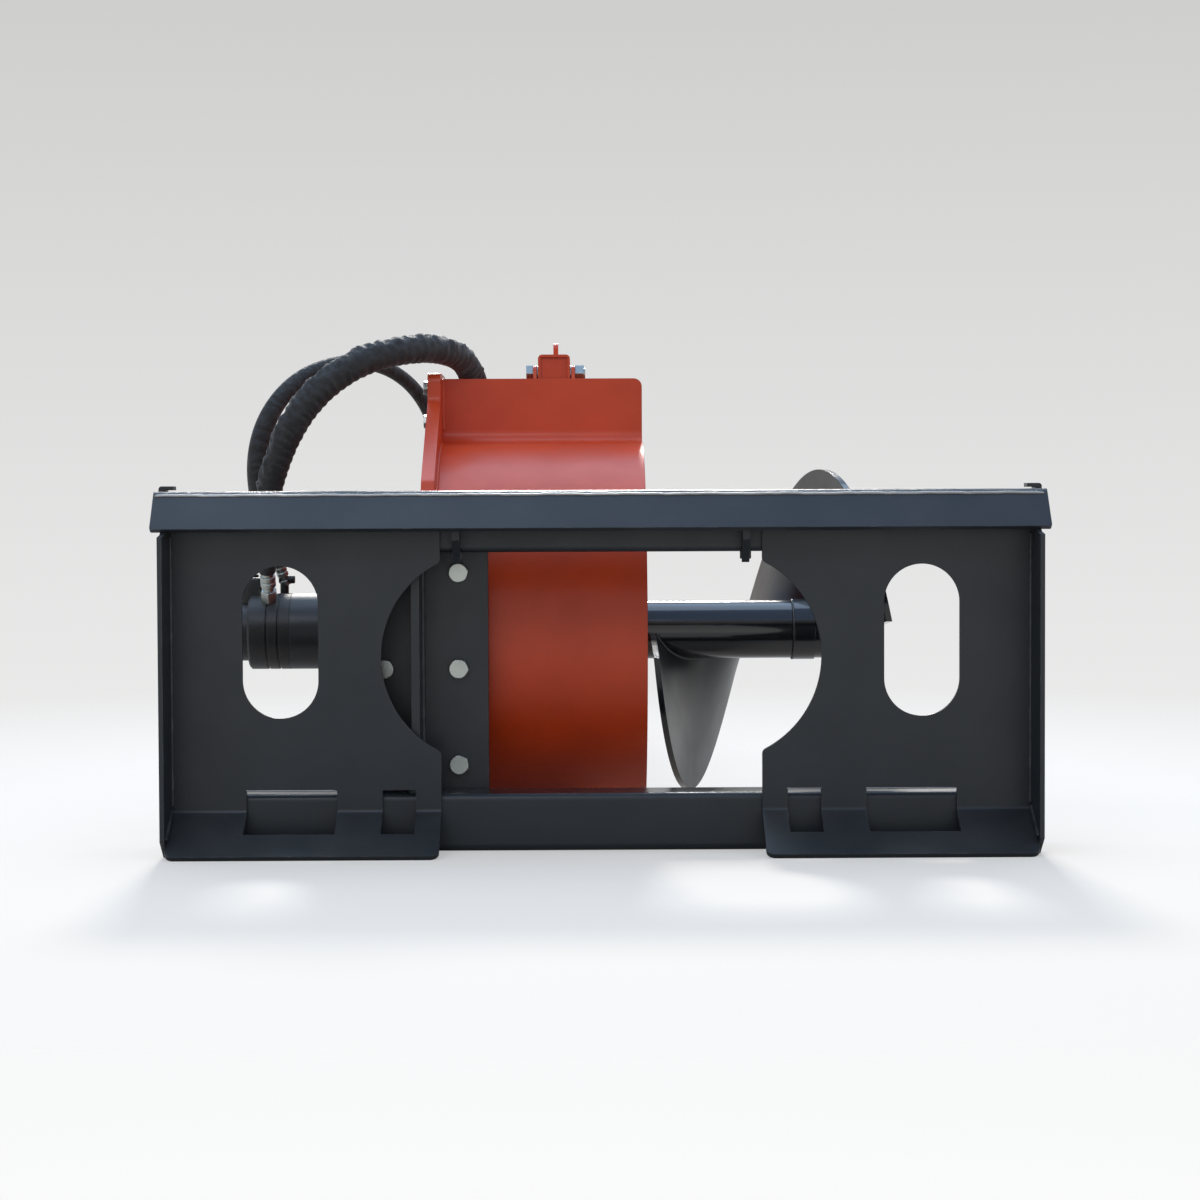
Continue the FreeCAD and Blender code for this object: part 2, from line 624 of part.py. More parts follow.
def auger_flight():
    """One right-hand turn of plate, pulled out by hand, so that its pitch isn't quite even."""
    face = Part.makeRuledSurface(flight_edge(AUGER_TUBE_R + CLEAR), flight_edge(FLIGHT_R))
    blade = face.extrude(V(FLIGHT_T, 0, 0))
    room = rod_x(SLEEVE_X - CLEAR, SLEEVE_X + SLEEVE_LEN + CLEAR, SHAFT_Y, SHAFT_Z, SLEEVE_R + CLEAR)
    return blade.cut(room)


# Chain path. Chain places are worked out in the boom's own plane: along it (u) and above it (v),
# from the sprocket's axis, then laid into the part by a placement that carries the boom's slope.

class Loop:
    """The loop of the pitch line round the sprocket and the nose roller, at one centre distance."""

    def __init__(self, centres):
        self.c = centres
        self.lean = math.asin((SPROCKET_R - NOSE_PITCH_R) / centres)
        self.run = math.sqrt(centres ** 2 - (SPROCKET_R - NOSE_PITCH_R) ** 2)
        self.nose = NOSE_PITCH_R * (math.pi - 2 * self.lean)
        self.drive = SPROCKET_R * (math.pi + 2 * self.lean)
        self.length = 2 * self.run + self.nose + self.drive

    def point(self, s):
        """The point at distance s, from the foot of the nose's arc, round the nose and back on top."""
        s = s % self.length
        up = math.pi / 2 - self.lean
        if s < self.nose:
            a = -up + s / NOSE_PITCH_R
            return self.c + NOSE_PITCH_R * math.cos(a), NOSE_PITCH_R * math.sin(a)
        s -= self.nose
        if s < self.run:
            u0, v0 = self.c + NOSE_PITCH_R * math.cos(up), NOSE_PITCH_R * math.sin(up)
            return u0 - s * math.cos(self.lean), v0 + s * math.sin(self.lean)
        s -= self.run
        if s < self.drive:
            a = up + s / SPROCKET_R
            return SPROCKET_R * math.cos(a), SPROCKET_R * math.sin(a)
        s -= self.drive
        u0, v0 = SPROCKET_R * math.cos(up), -SPROCKET_R * math.sin(up)
        return u0 + s * math.cos(self.lean), v0 + s * math.sin(self.lean)

    def next_joint(self, s):
        """The distance of the joint that lies one straight pitch further on."""
        here = self.point(s)
        low, high = s + CHAIN_PITCH * 0.9, s + CHAIN_PITCH * 1.3
        for _ in range(50):
            middle = (low + high) / 2
            there = self.point(middle)
            if math.dist(here, there) < CHAIN_PITCH:
                low = middle
            else:
                high = middle
        return (low + high) / 2

    def joints(self, start):
        places = [start]
        for _ in range(LINKS):
            places.append(self.next_joint(places[-1]))
        return places


def solve_chain():
    """The centre distance at which the whole chain closes, with one cutter at the nose's lowest point."""
    low = LINKS * CHAIN_PITCH * 0.30
    high = LINKS * CHAIN_PITCH * 0.50
    for _ in range(50):
        centres = (low + high) / 2
        loop = Loop(centres)
        start = first_joint(loop)
        if loop.joints(start)[-1] - start < loop.length:
            high = centres
        else:
            low = centres
    loop = Loop(centres)
    return loop, loop.joints(first_joint(loop))[:-1]


def slope_of(centres):
    """The boom's fall, in radians, that brings the cutters at the nose down to the ground."""
    chord = NOSE_PITCH_R * math.cos(math.asin(CHAIN_PITCH / 2 / NOSE_PITCH_R))
    nose_z = chord + CUTTER_TOP
    return math.asin((SHAFT_Z - nose_z) / centres)


def first_joint(loop):
    """Start of the link that hangs level under the nose."""
    a = -math.pi / 2 + slope_of(loop.c)
    half = math.asin(CHAIN_PITCH / 2 / NOSE_PITCH_R)
    up = math.pi / 2 - loop.lean
    return NOSE_PITCH_R * (a - half + up)


LOOP, JOINTS = solve_chain()
SLOPE = slope_of(LOOP.c)
CENTRES = LOOP.c
NOSE_Y = SHAFT_Y + CENTRES * math.cos(SLOPE)
NOSE_Z = SHAFT_Z - CENTRES * math.sin(SLOPE)
BOOM_TO_PART = FreeCAD.Placement(V(0, SHAFT_Y, SHAFT_Z), FreeCAD.Rotation(V(1, 0, 0), -math.degrees(SLOPE)))


def on_boom(shape):
    """A shape drawn with the boom level, its start at the origin, laid along the real boom."""
    shape = shape.copy()
    shape.Placement = BOOM_TO_PART.multiply(shape.Placement)
    return shape


def link_places(first):
    """Placements of every second link, from its first joint towards its second."""
    count = len(JOINTS)
    places = []
    for i in range(first, count, 2):
        u0, v0 = LOOP.point(JOINTS[i])
        u1, v1 = LOOP.point(JOINTS[(i + 1) % count])
        a = math.degrees(math.atan2(v1 - v0, u1 - u0))
        places.append(FreeCAD.Placement(V(CHAIN_X, u0, v0), FreeCAD.Rotation(V(1, 0, 0), a)))
    return places


def copies(template, places):
    made = []
    for place in places:
        for solid in template:
            part = solid.copy()
            part.Placement = BOOM_TO_PART.multiply(place)
            made.append(part)
    return made


def link_plate(x0, x1):
    """One side bar: eight sides, its corners cut, longer than the pitch by its two rounded ends."""
    h, e = LINK_HALF_H, LINK_END
    c = h / 2
    points = [
        (-e, -c), (-e + c * 0.75, -h), (CHAIN_PITCH + e - c * 0.75, -h), (CHAIN_PITCH + e, -c),
        (CHAIN_PITCH + e, c), (CHAIN_PITCH + e - c * 0.75, h), (-e + c * 0.75, h), (-e, c),
    ]
    return prism_x(points, x0, x1)


def link_pair(offset):
    return [link_plate(offset, offset + LINK_PLATE_T), link_plate(-offset - LINK_PLATE_T, -offset)]


def cutter(points):
    """A bolt-on tooth: a base across the link and a blade that leans the way the chain runs.

    The chain's outside is towards -v on a link laid from the nose's foot round, so the tooth stands that way.
    """
    half = INNER_HALF + 2 * LINK_PLATE_T + CLEAR + 2
    middle = CHAIN_PITCH / 2
    foot = LINK_HALF_H
    top = foot + CUTTER_BASE_T
    base = box(-half, half, middle - CUTTER_BASE_HALF, middle + CUTTER_BASE_HALF, -top, -foot)
    blade = prism_y([(x, -z) for x, z in points], middle - CUTTER_T / 2, middle + CUTTER_T / 2)
    lean = FreeCAD.Rotation(V(1, 0, 0), CUTTER_LEAN)
    blade.Placement = FreeCAD.Placement(V(0, 0, 0), lean, V(0, middle, -foot))
    far = 2 * CUTTER_REACH
    blade = blade.cut(box(-far, far, -far, far, -foot - 2, far))
    return base.fuse(blade)


def wing(side):
    """Outline of a side cutter, across (x) and away from the link (z)."""
    z = LINK_HALF_H
    top = z + CUTTER_BASE_T + CUTTER_H
    return [
        (side * 6, z), (side * 10, z + 26), (side * 38, z + 50), (side * 58, top - 4), (side * 70, top),
        (side * (CUTTER_REACH - 2), top - 8), (side * CUTTER_REACH, top - 20), (side * 72, z + 36),
        (side * WING_FOOT, z),
    ]


def middle_blade():
    z = LINK_HALF_H
    top = z + CUTTER_BASE_T + CUTTER_H
    return [(-26, z), (-16, z + 40), (-24, top), (24, top), (16, z + 40), (26, z)]


# Boom, drawn level and then laid on its slope

def cross_mount():
    """Square tube from the side plate to the boom's base, between the two runs of chain."""
    x1 = CHAIN_X - boom_inside()[0] / 2 + BAR_FIT
    y0, y1 = BASE_START, BASE_START + CROSS_LEN
    h = CROSS_HALF_H
    tube = box(GUARD_IN_X0, x1, y0, y1, -h, h)
    tube = tube.makeFillet(8, edges_along(tube, V(1, 0, 0), lambda c: True))
    bore = box(GUARD_IN_X0 - 1, x1 + 1, y0 + 8, y1 - 8, 8 - h, h - 8)
    return on_boom(tube.cut(bore))


def boom_inside():
    return BOOM_W - 2 * BOOM_WALL, BOOM_H - 2 * BOOM_WALL


def base_bar():
    w, h = boom_inside()
    w, h = w / 2 - BAR_FIT, h / 2 - BAR_FIT
    bar = box(CHAIN_X - w, CHAIN_X + w, BASE_START, BASE_END, -h, h)
    bar = bar.makeChamfer(6, edges_along(bar, V(1, 0, 0), lambda c: c.y < BASE_START + 1))
    return on_boom(bar)


def boom_tube():
    w, h = BOOM_W / 2, BOOM_H / 2
    end = CENTRES - ROLLER_R - NOSE_GAP
    tube = box(CHAIN_X - w, CHAIN_X + w, BOOM_START, end, -h, h)
    tube = tube.makeFillet(5, edges_along(tube, V(0, 1, 0), lambda c: True))
    iw, ih = boom_inside()
    bore = box(CHAIN_X - iw / 2, CHAIN_X + iw / 2, BOOM_START - 1, end - 30, -ih / 2, ih / 2)
    x0, x1 = CHAIN_X - w - 2 * SCREW_OUT, CHAIN_X - w + 1
    lug = box(x0, x1, BOOM_START, BOOM_START + LUG_T, -LUG_HALF_H, LUG_HALF_H)
    lug = lug.cut(rod_y(BOOM_START - 1, BOOM_START + LUG_T + 1, CHAIN_X - w - SCREW_OUT, 0, SCREW_R + CLEAR))
    return on_boom(tube.fuse(lug).cut(bore).removeSplitter())


def strand_height(u):
    """Height of the upper pitch line above the boom's centre line."""
    return (SPROCKET_R - u * math.sin(LOOP.lean)) / math.cos(LOOP.lean)


def wear_strip(way):
    u0, u1 = BOOM_START, CENTRES - ROLLER_R - NOSE_GAP
    off = BARREL_R / math.cos(LOOP.lean) + WEAR_GAP
    points = [
        (u0, BOOM_H / 2), (u1, BOOM_H / 2), (u1, strand_height(u1) - off - 4),
        (u1 - 12, strand_height(u1 - 12) - off), (u0 + 20, strand_height(u0 + 20) - off),
        (u0, strand_height(u0) - off - 8),
    ]
    strip = prism_x([(u, way * v) for u, v in points], CHAIN_X - WEAR_HALF_W, CHAIN_X + WEAR_HALF_W)
    return on_boom(strip)


def nose_fork():
    """Two arms on the end of the boom that hold the roller's axle."""
    u0 = CENTRES - ROLLER_R - NOSE_GAP
    h = ARM_HALF_H
    arms = []
    for side in (-1, 1):
        x0, x1 = sorted((CHAIN_X + side * (ROLLER_HALF_W + 1), CHAIN_X + side * (ROLLER_HALF_W + 1 + ARM_T)))
        arm = box(x0, x1, u0, CENTRES, -h, h).fuse(rod_x(x0, x1, CENTRES, 0, h))
        arm = arm.removeSplitter().cut(rod_x(x0 - 1, x1 + 1, CENTRES, 0, AXLE_R))
        arms.append(on_boom(arm))
    return arms


def tension_screw():
    x = CHAIN_X - BOOM_W / 2 - SCREW_OUT
    return on_boom(rod_y(BASE_START + CROSS_LEN, SCREW_END, x, 0, SCREW_R))


def tension_nuts():
    x = CHAIN_X - BOOM_W / 2 - SCREW_OUT
    nuts = []
    for y0 in (BOOM_START - NUT_H, BOOM_START + LUG_T):
        nut = hex_y(x, 0, y0, y0 + NUT_H, HEX_AF)
        nuts.append(on_boom(nut.cut(rod_y(y0 - 1, y0 + NUT_H + 1, x, 0, SCREW_R + RUN_FIT))))
    return nuts


# Crumber: an arm over the chain, a bar that slides out of it and a shoe in front of the nose

def crumber_bracket():
    """Two cheeks on the guard's strip that hold the pivot bolt, with the arm's rest between them."""
    inner = ARM_TUBE / 2 + EAR_GAP
    y0 = SHAFT_Y + GUARD_NECK_R + GUARD_T
    rest = ARM_Z0 - CLEAR
    points = [
        (y0, GUARD_TOP_Z - CHEEK_LOW), (y0, GUARD_TOP_Z - CHEEK_HIGH),
        (PIVOT_Y - EAR_R, EAR_TOP_Z), (PIVOT_Y + EAR_R, EAR_TOP_Z),
        (REST_Y0, rest + 10), (REST_Y1, rest), (REST_Y1, rest - REST_T),
    ]
    bracket = box(CHAIN_X - inner - 1, CHAIN_X + inner + 1, REST_Y0, REST_Y1, rest - REST_T, rest)
    for x0 in (CHAIN_X - inner - EAR_T, CHAIN_X + inner):
        cheek = prism_x(points, x0, x0 + EAR_T)
        cheek = cheek.makeFillet(8, edges_along(cheek, V(1, 0, 0), lambda c: c.z > EAR_TOP_Z - 1))
        bracket = bracket.fuse(cheek)
    bracket = bracket.removeSplitter()
    return bracket.cut(rod_x(CHAIN_X - 60, CHAIN_X + 60, PIVOT_Y, PIVOT_Z, PIVOT_R))


def pivot_bolt():
    inner = ARM_TUBE / 2 + EAR_GAP + EAR_T
    x0, x1 = CHAIN_X - inner, CHAIN_X + inner
    bolt = rod_x(x0 - 1, x1 + NUT_H + 2, PIVOT_Y, PIVOT_Z, PIVOT_R)
    bolt = bolt.fuse(hex_x(PIVOT_Y, PIVOT_Z, x0 - HEX_H, x0, HEX_AF))
    return bolt.fuse(hex_x(PIVOT_Y, PIVOT_Z, x1, x1 + NUT_H, HEX_AF))


def crumber_arm():
    h = ARM_TUBE / 2
    z1 = ARM_Z0 + ARM_TUBE
    tube = box(CHAIN_X - h, CHAIN_X + h, ARM_Y0, ARM_END_Y, ARM_Z0, z1)
    tube = tube.makeFillet(6, edges_along(tube, V(0, 1, 0), lambda c: True))
    w = ARM_WALL
    cap_y = ARM_Y0 + ARM_CAP_SET
    tube = tube.cut(box(CHAIN_X - h + w, CHAIN_X + h - w, cap_y + w, ARM_END_Y + 1, ARM_Z0 + w, z1 - w))
    tube = tube.cut(box(CHAIN_X - h + w, CHAIN_X + h - w, ARM_Y0 - 1, cap_y, ARM_Z0 + w, z1 - w))
    return tube.cut(rod_x(CHAIN_X - 60, CHAIN_X + 60, PIVOT_Y, PIVOT_Z, PIVOT_R + RUN_FIT))


def arm_washers():
    washers = []
    h = ARM_TUBE / 2
    for x0 in (CHAIN_X - h - EAR_GAP + CLEAR, CHAIN_X + h):
        washers.append(ring_x(x0, x0 + EAR_GAP - CLEAR, PIVOT_Y, PIVOT_Z, HEX_AF / 2, PIVOT_R + RUN_FIT))
    return washers


def lifting_eye():
    """Flat eye on top of the arm's rear end."""
    z = ARM_Z0 + ARM_TUBE
    x0, x1 = CHAIN_X - 1, CHAIN_X + 6
    eye = rod_x(x0, x1, PIVOT_Y + 24, z + EYE_R, EYE_R)
    eye = eye.fuse(box(x0, x1, PIVOT_Y + 24 - EYE_R, PIVOT_Y + 24 + EYE_R, z, z + EYE_R))
    return eye.removeSplitter().cut(rod_x(x0 - 1, x1 + 1, PIVOT_Y + 24, z + EYE_R, EYE_R / 2))


def clamp_bolts():
    """Two set bolts in the end of the arm that clamp the bar."""
    bolts = []
    z = ARM_Z0 + ARM_TUBE
    for y in (ARM_END_Y - CLAMP_IN - CLAMP_PITCH, ARM_END_Y - CLAMP_IN):
        boss = Part.makeCylinder(15, 10, V(CHAIN_X, y, z))
        head = boss.fuse(Part.makeCylinder(SCREW_R, 14, V(CHAIN_X, y, z + 9)))
        cap = Part.makeCylinder(12, 8, V(CHAIN_X, y, z + 23))
        bolts.append(head.fuse(cap))
    return bolts


def bar_half():
    return ARM_TUBE / 2 - ARM_WALL - BAR_FIT


def shoe_radius():
    chord = NOSE_PITCH_R * math.cos(math.asin(CHAIN_PITCH / 2 / NOSE_PITCH_R))
    return chord + CUTTER_TOP + SHOE_GAP


def leg_y():
    return NOSE_Y + shoe_radius() + SHOE_T + 1.0


def crumber_bar():
    """Bar inside the arm, with the leg that goes down to the shoe."""
    h = bar_half()
    middle = ARM_Z0 + ARM_TUBE / 2
    y1 = leg_y() + LEG_D
    bar = box(CHAIN_X - h, CHAIN_X + h, BAR_Y0, y1, middle - h, middle + h)
    leg = box(CHAIN_X - h, CHAIN_X + h, leg_y(), y1, NOSE_Z - LEG_PAST_NOSE, middle + h)
    low, back = middle - h, leg_y()
    corner = [
        (back - BRACE, low), (back, low - BRACE), (back + 1, low - BRACE), (back + 1, low + 1),
        (back - BRACE, low + 1),
    ]
    brace = prism_x(corner, CHAIN_X - 6, CHAIN_X + 6)
    return bar.fuse(leg).fuse(brace).removeSplitter()


def crumber_shoe():
    """Curved scraper that follows the nose, with a rib on its back that meets the leg."""
    r = shoe_radius()
    half = CUTTER_REACH + SHOE_SIDE_GAP
    x0, x1 = CHAIN_X - half, CHAIN_X + half
    low, high = -SHOE_LOW, SHOE_HIGH
    outer = r + SHOE_T
    wire = Part.Wire([
        arc_edge(NOSE_Y, NOSE_Z, r, low, high, x0),
        line_edge(on_circle(NOSE_Y, NOSE_Z, r, high), on_circle(NOSE_Y, NOSE_Z, outer, high), x0),
        arc_edge(NOSE_Y, NOSE_Z, outer, high, low, x0),
        line_edge(on_circle(NOSE_Y, NOSE_Z, outer, low), on_circle(NOSE_Y, NOSE_Z, r, low), x0),
    ])
    shoe = Part.Face(wire).extrude(V(x1 - x0, 0, 0))
    inner, edge = r - SKIRT_DEPTH, high - SKIRT_DROP
    corner = on_circle(NOSE_Y, NOSE_Z, inner, edge)
    for skirt_x in (x0 - SHOE_T, x1):
        skirt = Part.Face(Part.Wire([
            arc_edge(NOSE_Y, NOSE_Z, inner, low, edge, skirt_x),
            line_edge(corner, on_circle(NOSE_Y, NOSE_Z, outer, high), skirt_x),
            arc_edge(NOSE_Y, NOSE_Z, outer, high, low, skirt_x),
            line_edge(on_circle(NOSE_Y, NOSE_Z, outer, low), on_circle(NOSE_Y, NOSE_Z, inner, low), skirt_x),
        ])).extrude(V(SHOE_T, 0, 0))
        shoe = shoe.fuse(skirt)
    back = leg_y()
    front, low, high = NOSE_Y + r * math.cos(math.asin(RIB_HALF / r)), NOSE_Z - RIB_HALF, NOSE_Z + RIB_HALF
    rib = prism_x([(front, high), (back, high), (back, low), (front, low)], CHAIN_X - 12, CHAIN_X + 12)
    rib = rib.cut(rod_x(CHAIN_X - 30, CHAIN_X + 30, NOSE_Y, NOSE_Z, r + 1))
    return shoe.fuse(rib).removeSplitter()


# Hoses

def hose(points, diameter, name):
    """A round tube along straight runs joined by tangent arcs, as large as the runs allow."""
    points = [V(*p) for p in points]
    edges = []
    here = points[0]
    radii = []
    for before, corner, after in zip(points, points[1:], points[2:]):
        run_in, run_out = corner.sub(before), after.sub(corner)
        turn = run_in.getAngle(run_out)
        back = 0.45 * min(run_in.Length, run_out.Length)
        radius = back / math.tan(turn / 2)
        d_in = FreeCAD.Vector(run_in).normalize()
        d_out = FreeCAD.Vector(run_out).normalize()
        start = corner.sub(FreeCAD.Vector(d_in).multiply(back))
        end = corner.add(FreeCAD.Vector(d_out).multiply(back))
        inward = FreeCAD.Vector(d_out).sub(d_in).normalize()
        middle = corner.add(FreeCAD.Vector(inward).multiply(radius / math.cos(turn / 2) - radius))
        edges.append(Part.LineSegment(here, start).toShape())
        edges.append(Part.Arc(start, middle, end).toShape())
        here = end
        radii.append(radius)
    edges.append(Part.LineSegment(here, points[-1]).toShape())
    path = Part.Wire(edges)
    way = points[1].sub(points[0])
    section = Part.Wire(Part.makeCircle(diameter / 2, points[0], way))
    tube = path.makePipeShell([section], True, False)
    ratio = tube.Volume / (math.pi * diameter ** 2 / 4 * path.Length)
    print(name, "length", round(path.Length), "volume ratio", round(ratio, 4))
    print(name, "radii", [round(r) for r in radii])
    return tube


def end_of(points, last):
    """The place and the outward direction of a hose's first or last run."""
    a, b = (V(*points[-2]), V(*points[-1])) if last else (V(*points[1]), V(*points[0]))
    return b, b.sub(a).normalize()


def stub(start, way, reach, diameter, length, sides=0):
    """A round or six-sided piece in line with a hose, a reach past its end."""
    foot = start.add(FreeCAD.Vector(way).multiply(reach))
    if not sides:
        return Part.makeCylinder(diameter / 2, length, foot, way)
    corners = []
    for i in range(sides + 1):
        a = 2 * math.pi * i / sides
        corners.append(V(diameter / 2 * math.cos(a), diameter / 2 * math.sin(a), 0))
    piece = Part.Face(Part.makePolygon(corners)).extrude(V(0, 0, length))
    piece.Placement = FreeCAD.Placement(foot, FreeCAD.Rotation(V(0, 0, 1), way))
    return piece


def hose_fitting(points, diameter):
    """Crimped ferrule, hex and post between a hose and the motor."""
    start, way = end_of(points, False)
    fitting = stub(start, way, 0, diameter + 2 * FERRULE_WALL, FITTING_H * 0.5)
    fitting = fitting.fuse(stub(start, way, FITTING_H * 0.45, diameter + 4, FITTING_H * 0.3, 6))
    foot = start.add(FreeCAD.Vector(way).multiply(FITTING_H * 0.7))
    post = Part.makeCylinder(diameter / 2 - 4, FITTING_POST, foot.add(V(0, 0, 6)), V(0, 0, -1))
    return fitting.fuse(post).cut(rod_x(MOTOR_X0 - 1, SIDE_X0, SHAFT_Y, SHAFT_Z, HOUSING_R))


def coupler(points, diameter):
    """Quick coupler on the free end: ferrule, hex and body."""
    start, way = end_of(points, True)
    ferrule = stub(start, way, 0, diameter, COUPLER_LEN * 0.35)
    nut = stub(start, way, COUPLER_LEN * 0.35, diameter - 2, COUPLER_LEN * 0.3, 6)
    nose = stub(start, way, COUPLER_LEN * 0.65, diameter - 8, COUPLER_LEN * 0.35)
    return ferrule.fuse(nut).fuse(nose)


# Building and saving

os.makedirs("parts", exist_ok=True)

lip, lip_tip, lip_root = bent_lip()
save("top_lip", lip)
save("loader_plate_left", loader_plate(-1))
save("loader_plate_right", loader_plate(1))
save("end_plate_left", end_plate(-1, lip_tip, lip_root))
save("end_plate_right", end_plate(1, lip_tip, lip_root))
save("end_hooks", end_hook(-1), end_hook(1))
save("upper_tube", square_tube(UPPER_TUBE_Z))
save("lower_tube", square_tube(0))
save("pocket_ribs", pocket_rib(-RIB_X, lip_tip, lip_root), pocket_rib(RIB_X, lip_tip, lip_root))
save("post_web", box(WEB_X - WEB_T / 2, WEB_X + WEB_T / 2, WEB_REAR_Y, TUBE_Y1, TUBE, UPPER_TUBE_Z))
flange = box(FLANGE_X0, FLANGE_X1, TUBE_Y1, FLANGE_Y1, FLANGE_Z0, FLANGE_Z1)
save("post_flange", drilled(flange, TUBE_Y1, FLANGE_Y1))
plate = box(FLANGE_X0, FLANGE_X1, FLANGE_Y1, MOUNT_Y1, FLANGE_Z0, FLANGE_Z1)
save("head_mount_plate", drilled(plate, FLANGE_Y1, MOUNT_Y1))
save("mount_bolts", *[mount_bolt(x, z) for x, z in bolt_places()])

save("head_side_plate", side_plate())
save("guard_shell", guard_shell())
strip_bolts = []
for z in (GUARD_TOP_Z - STRIP_BOLT_DROP, GUARD_TOP_Z - STRIP_BOLT_DROP - STRIP_BOLT_PITCH):
    strip_bolts.append(hex_x(SHAFT_Y - 14, z, SIDE_X0 - STRIP_BOLT_H, SIDE_X0, STRIP_BOLT_AF))
save("guard_bolts", *strip_bolts)
save("bearing_housing", bearing_housing())
save("housing_gusset", housing_gusset())
flange_face = SIDE_X0 - HOUSING_FLANGE_T
save("housing_bolts", *ring_of_bolts(flange_face, -1, HOUSING_BOLTS, HOUSING_BOLT_PCR, HOUSING_BOLT_R, 30))
bearings = []
for x0 in (HOUSING_X0 + BEARING_IN, SIDE_X0 - BEARING_W - 4):
    bearings.append(ring_x(x0, x0 + BEARING_W, SHAFT_Y, SHAFT_Z, HOUSING_BORE_R, SHAFT_R + RUN_FIT))
save("drive_bearings", *bearings)
save("shaft_seal", ring_x(SIDE_X0, GUARD_IN_X0, SHAFT_Y, SHAFT_Z, HOUSING_BORE_R, SHAFT_R + RUN_FIT))
save("motor_body", motor_body())
save("motor_cap", motor_cap())

shaft_x0, shaft_x1 = HOUSING_X0 + MOTOR_SPIGOT + CLEAR, AUGER_X0 + AUGER_PLUG
save("drive_shaft", rod_x(shaft_x0, shaft_x1, SHAFT_Y, SHAFT_Z, SHAFT_R))
drive_start = LOOP.nose + LOOP.run
first_on_drive = [LOOP.point(s) for s in JOINTS if drive_start < s < drive_start + LOOP.drive]
seat = first_on_drive[len(first_on_drive) // 2]
phase = math.degrees(math.atan2(seat[1], seat[0]) - SLOPE)
save("sprocket", sprocket(phase))
hub_x1 = CHAIN_X - SPROCKET_T / 2
save("sprocket_hub", ring_x(hub_x1 - HUB_LEN, hub_x1, SHAFT_Y, SHAFT_Z, HUB_R, SHAFT_R))
save("sprocket_bolts", *ring_of_bolts(CHAIN_X + SPROCKET_T / 2, 1, HUB_BOLTS, HUB_BOLT_PCR, HUB_BOLT_R))
save("auger_tube", auger_tube())
save("auger_flight", auger_flight())
save("auger_sleeve", ring_x(SLEEVE_X, SLEEVE_X + SLEEVE_LEN, SHAFT_Y, SHAFT_Z, SLEEVE_R, AUGER_TUBE_R))

save("boom_cross_mount", cross_mount())
save("boom_base_bar", base_bar())
save("boom_tube", boom_tube())
save("wear_strips", wear_strip(1), wear_strip(-1))
save("nose_fork", *nose_fork())
axle_half = ROLLER_HALF_W + 1 + ARM_T
save("nose_axle", on_boom(rod_x(CHAIN_X - axle_half, CHAIN_X + axle_half, CENTRES, 0, AXLE_R)))
nose_x0, nose_x1 = CHAIN_X - ROLLER_HALF_W, CHAIN_X + ROLLER_HALF_W
save("nose_roller", on_boom(ring_x(nose_x0, nose_x1, CENTRES, 0, ROLLER_R, BUSH_R)))
save("nose_bush", on_boom(ring_x(nose_x0, nose_x1, CENTRES, 0, BUSH_R, AXLE_R + RUN_FIT)))
save("tension_screw", tension_screw())
save("tension_nuts", *tension_nuts())

outer = INNER_HALF + LINK_PLATE_T + CLEAR
outer_links = link_places(0)
save("chain_outer_links", *copies(link_pair(outer), outer_links))
save("chain_inner_links", *copies(link_pair(INNER_HALF), link_places(1)))
barrel = [rod_x(-INNER_HALF, INNER_HALF, 0, 0, BARREL_R)]
save("chain_barrels", *copies(barrel, link_places(0) + link_places(1)))
save("cutters_left", *copies([cutter(wing(-1))], outer_links[1::3]))
save("cutters_right", *copies([cutter(wing(1))], outer_links[2::3]))
save("cutters_middle", *copies([cutter(middle_blade())], outer_links[0::3]))

save("crumber_bracket", crumber_bracket())
save("crumber_pivot_bolt", pivot_bolt())
save("crumber_arm", crumber_arm())
save("crumber_washers", *arm_washers())
save("crumber_eye", lifting_eye())
save("crumber_clamp_bolts", *clamp_bolts())
save("crumber_bar", crumber_bar())
save("crumber_shoe", crumber_shoe())

save("hose_a", hose(HOSE_A_ROUTE, HOSE_A_D, "hose_a"))
save("hose_b", hose(HOSE_B_ROUTE, HOSE_B_D, "hose_b"))
save("hose_a_fitting", hose_fitting(HOSE_A_ROUTE, HOSE_A_D))
save("hose_b_fitting", hose_fitting(HOSE_B_ROUTE, HOSE_B_D))
save("hose_a_coupler", coupler(HOSE_A_ROUTE, HOSE_A_D))
save("hose_b_coupler", coupler(HOSE_B_ROUTE, HOSE_B_D))

print("centres", round(CENTRES, 2), "slope", round(math.degrees(SLOPE), 3))
print("nose", round(NOSE_Y, 2), round(NOSE_Z, 2))
print("sprocket phase", round(phase, 3), "shoe radius", round(shoe_radius(), 1), "leg", round(leg_y(), 1))
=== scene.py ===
# %% [markdown]
# # A skid steer trencher, dressed for the camera
# The CAD model comes in as a fixed frame: plates, tubes, chain and auger are where they belong and of the
# right size. This lesson gives it its looks: the camera and light of the photograph, two hydraulic hoses,
# painted and plated steel, weld beads, painted highlights along the edges, bolt heads, hose fittings and the
# pins of the chain.

# %% Load the frame
import bpy
import json
import math
from mathutils import Matrix, Vector


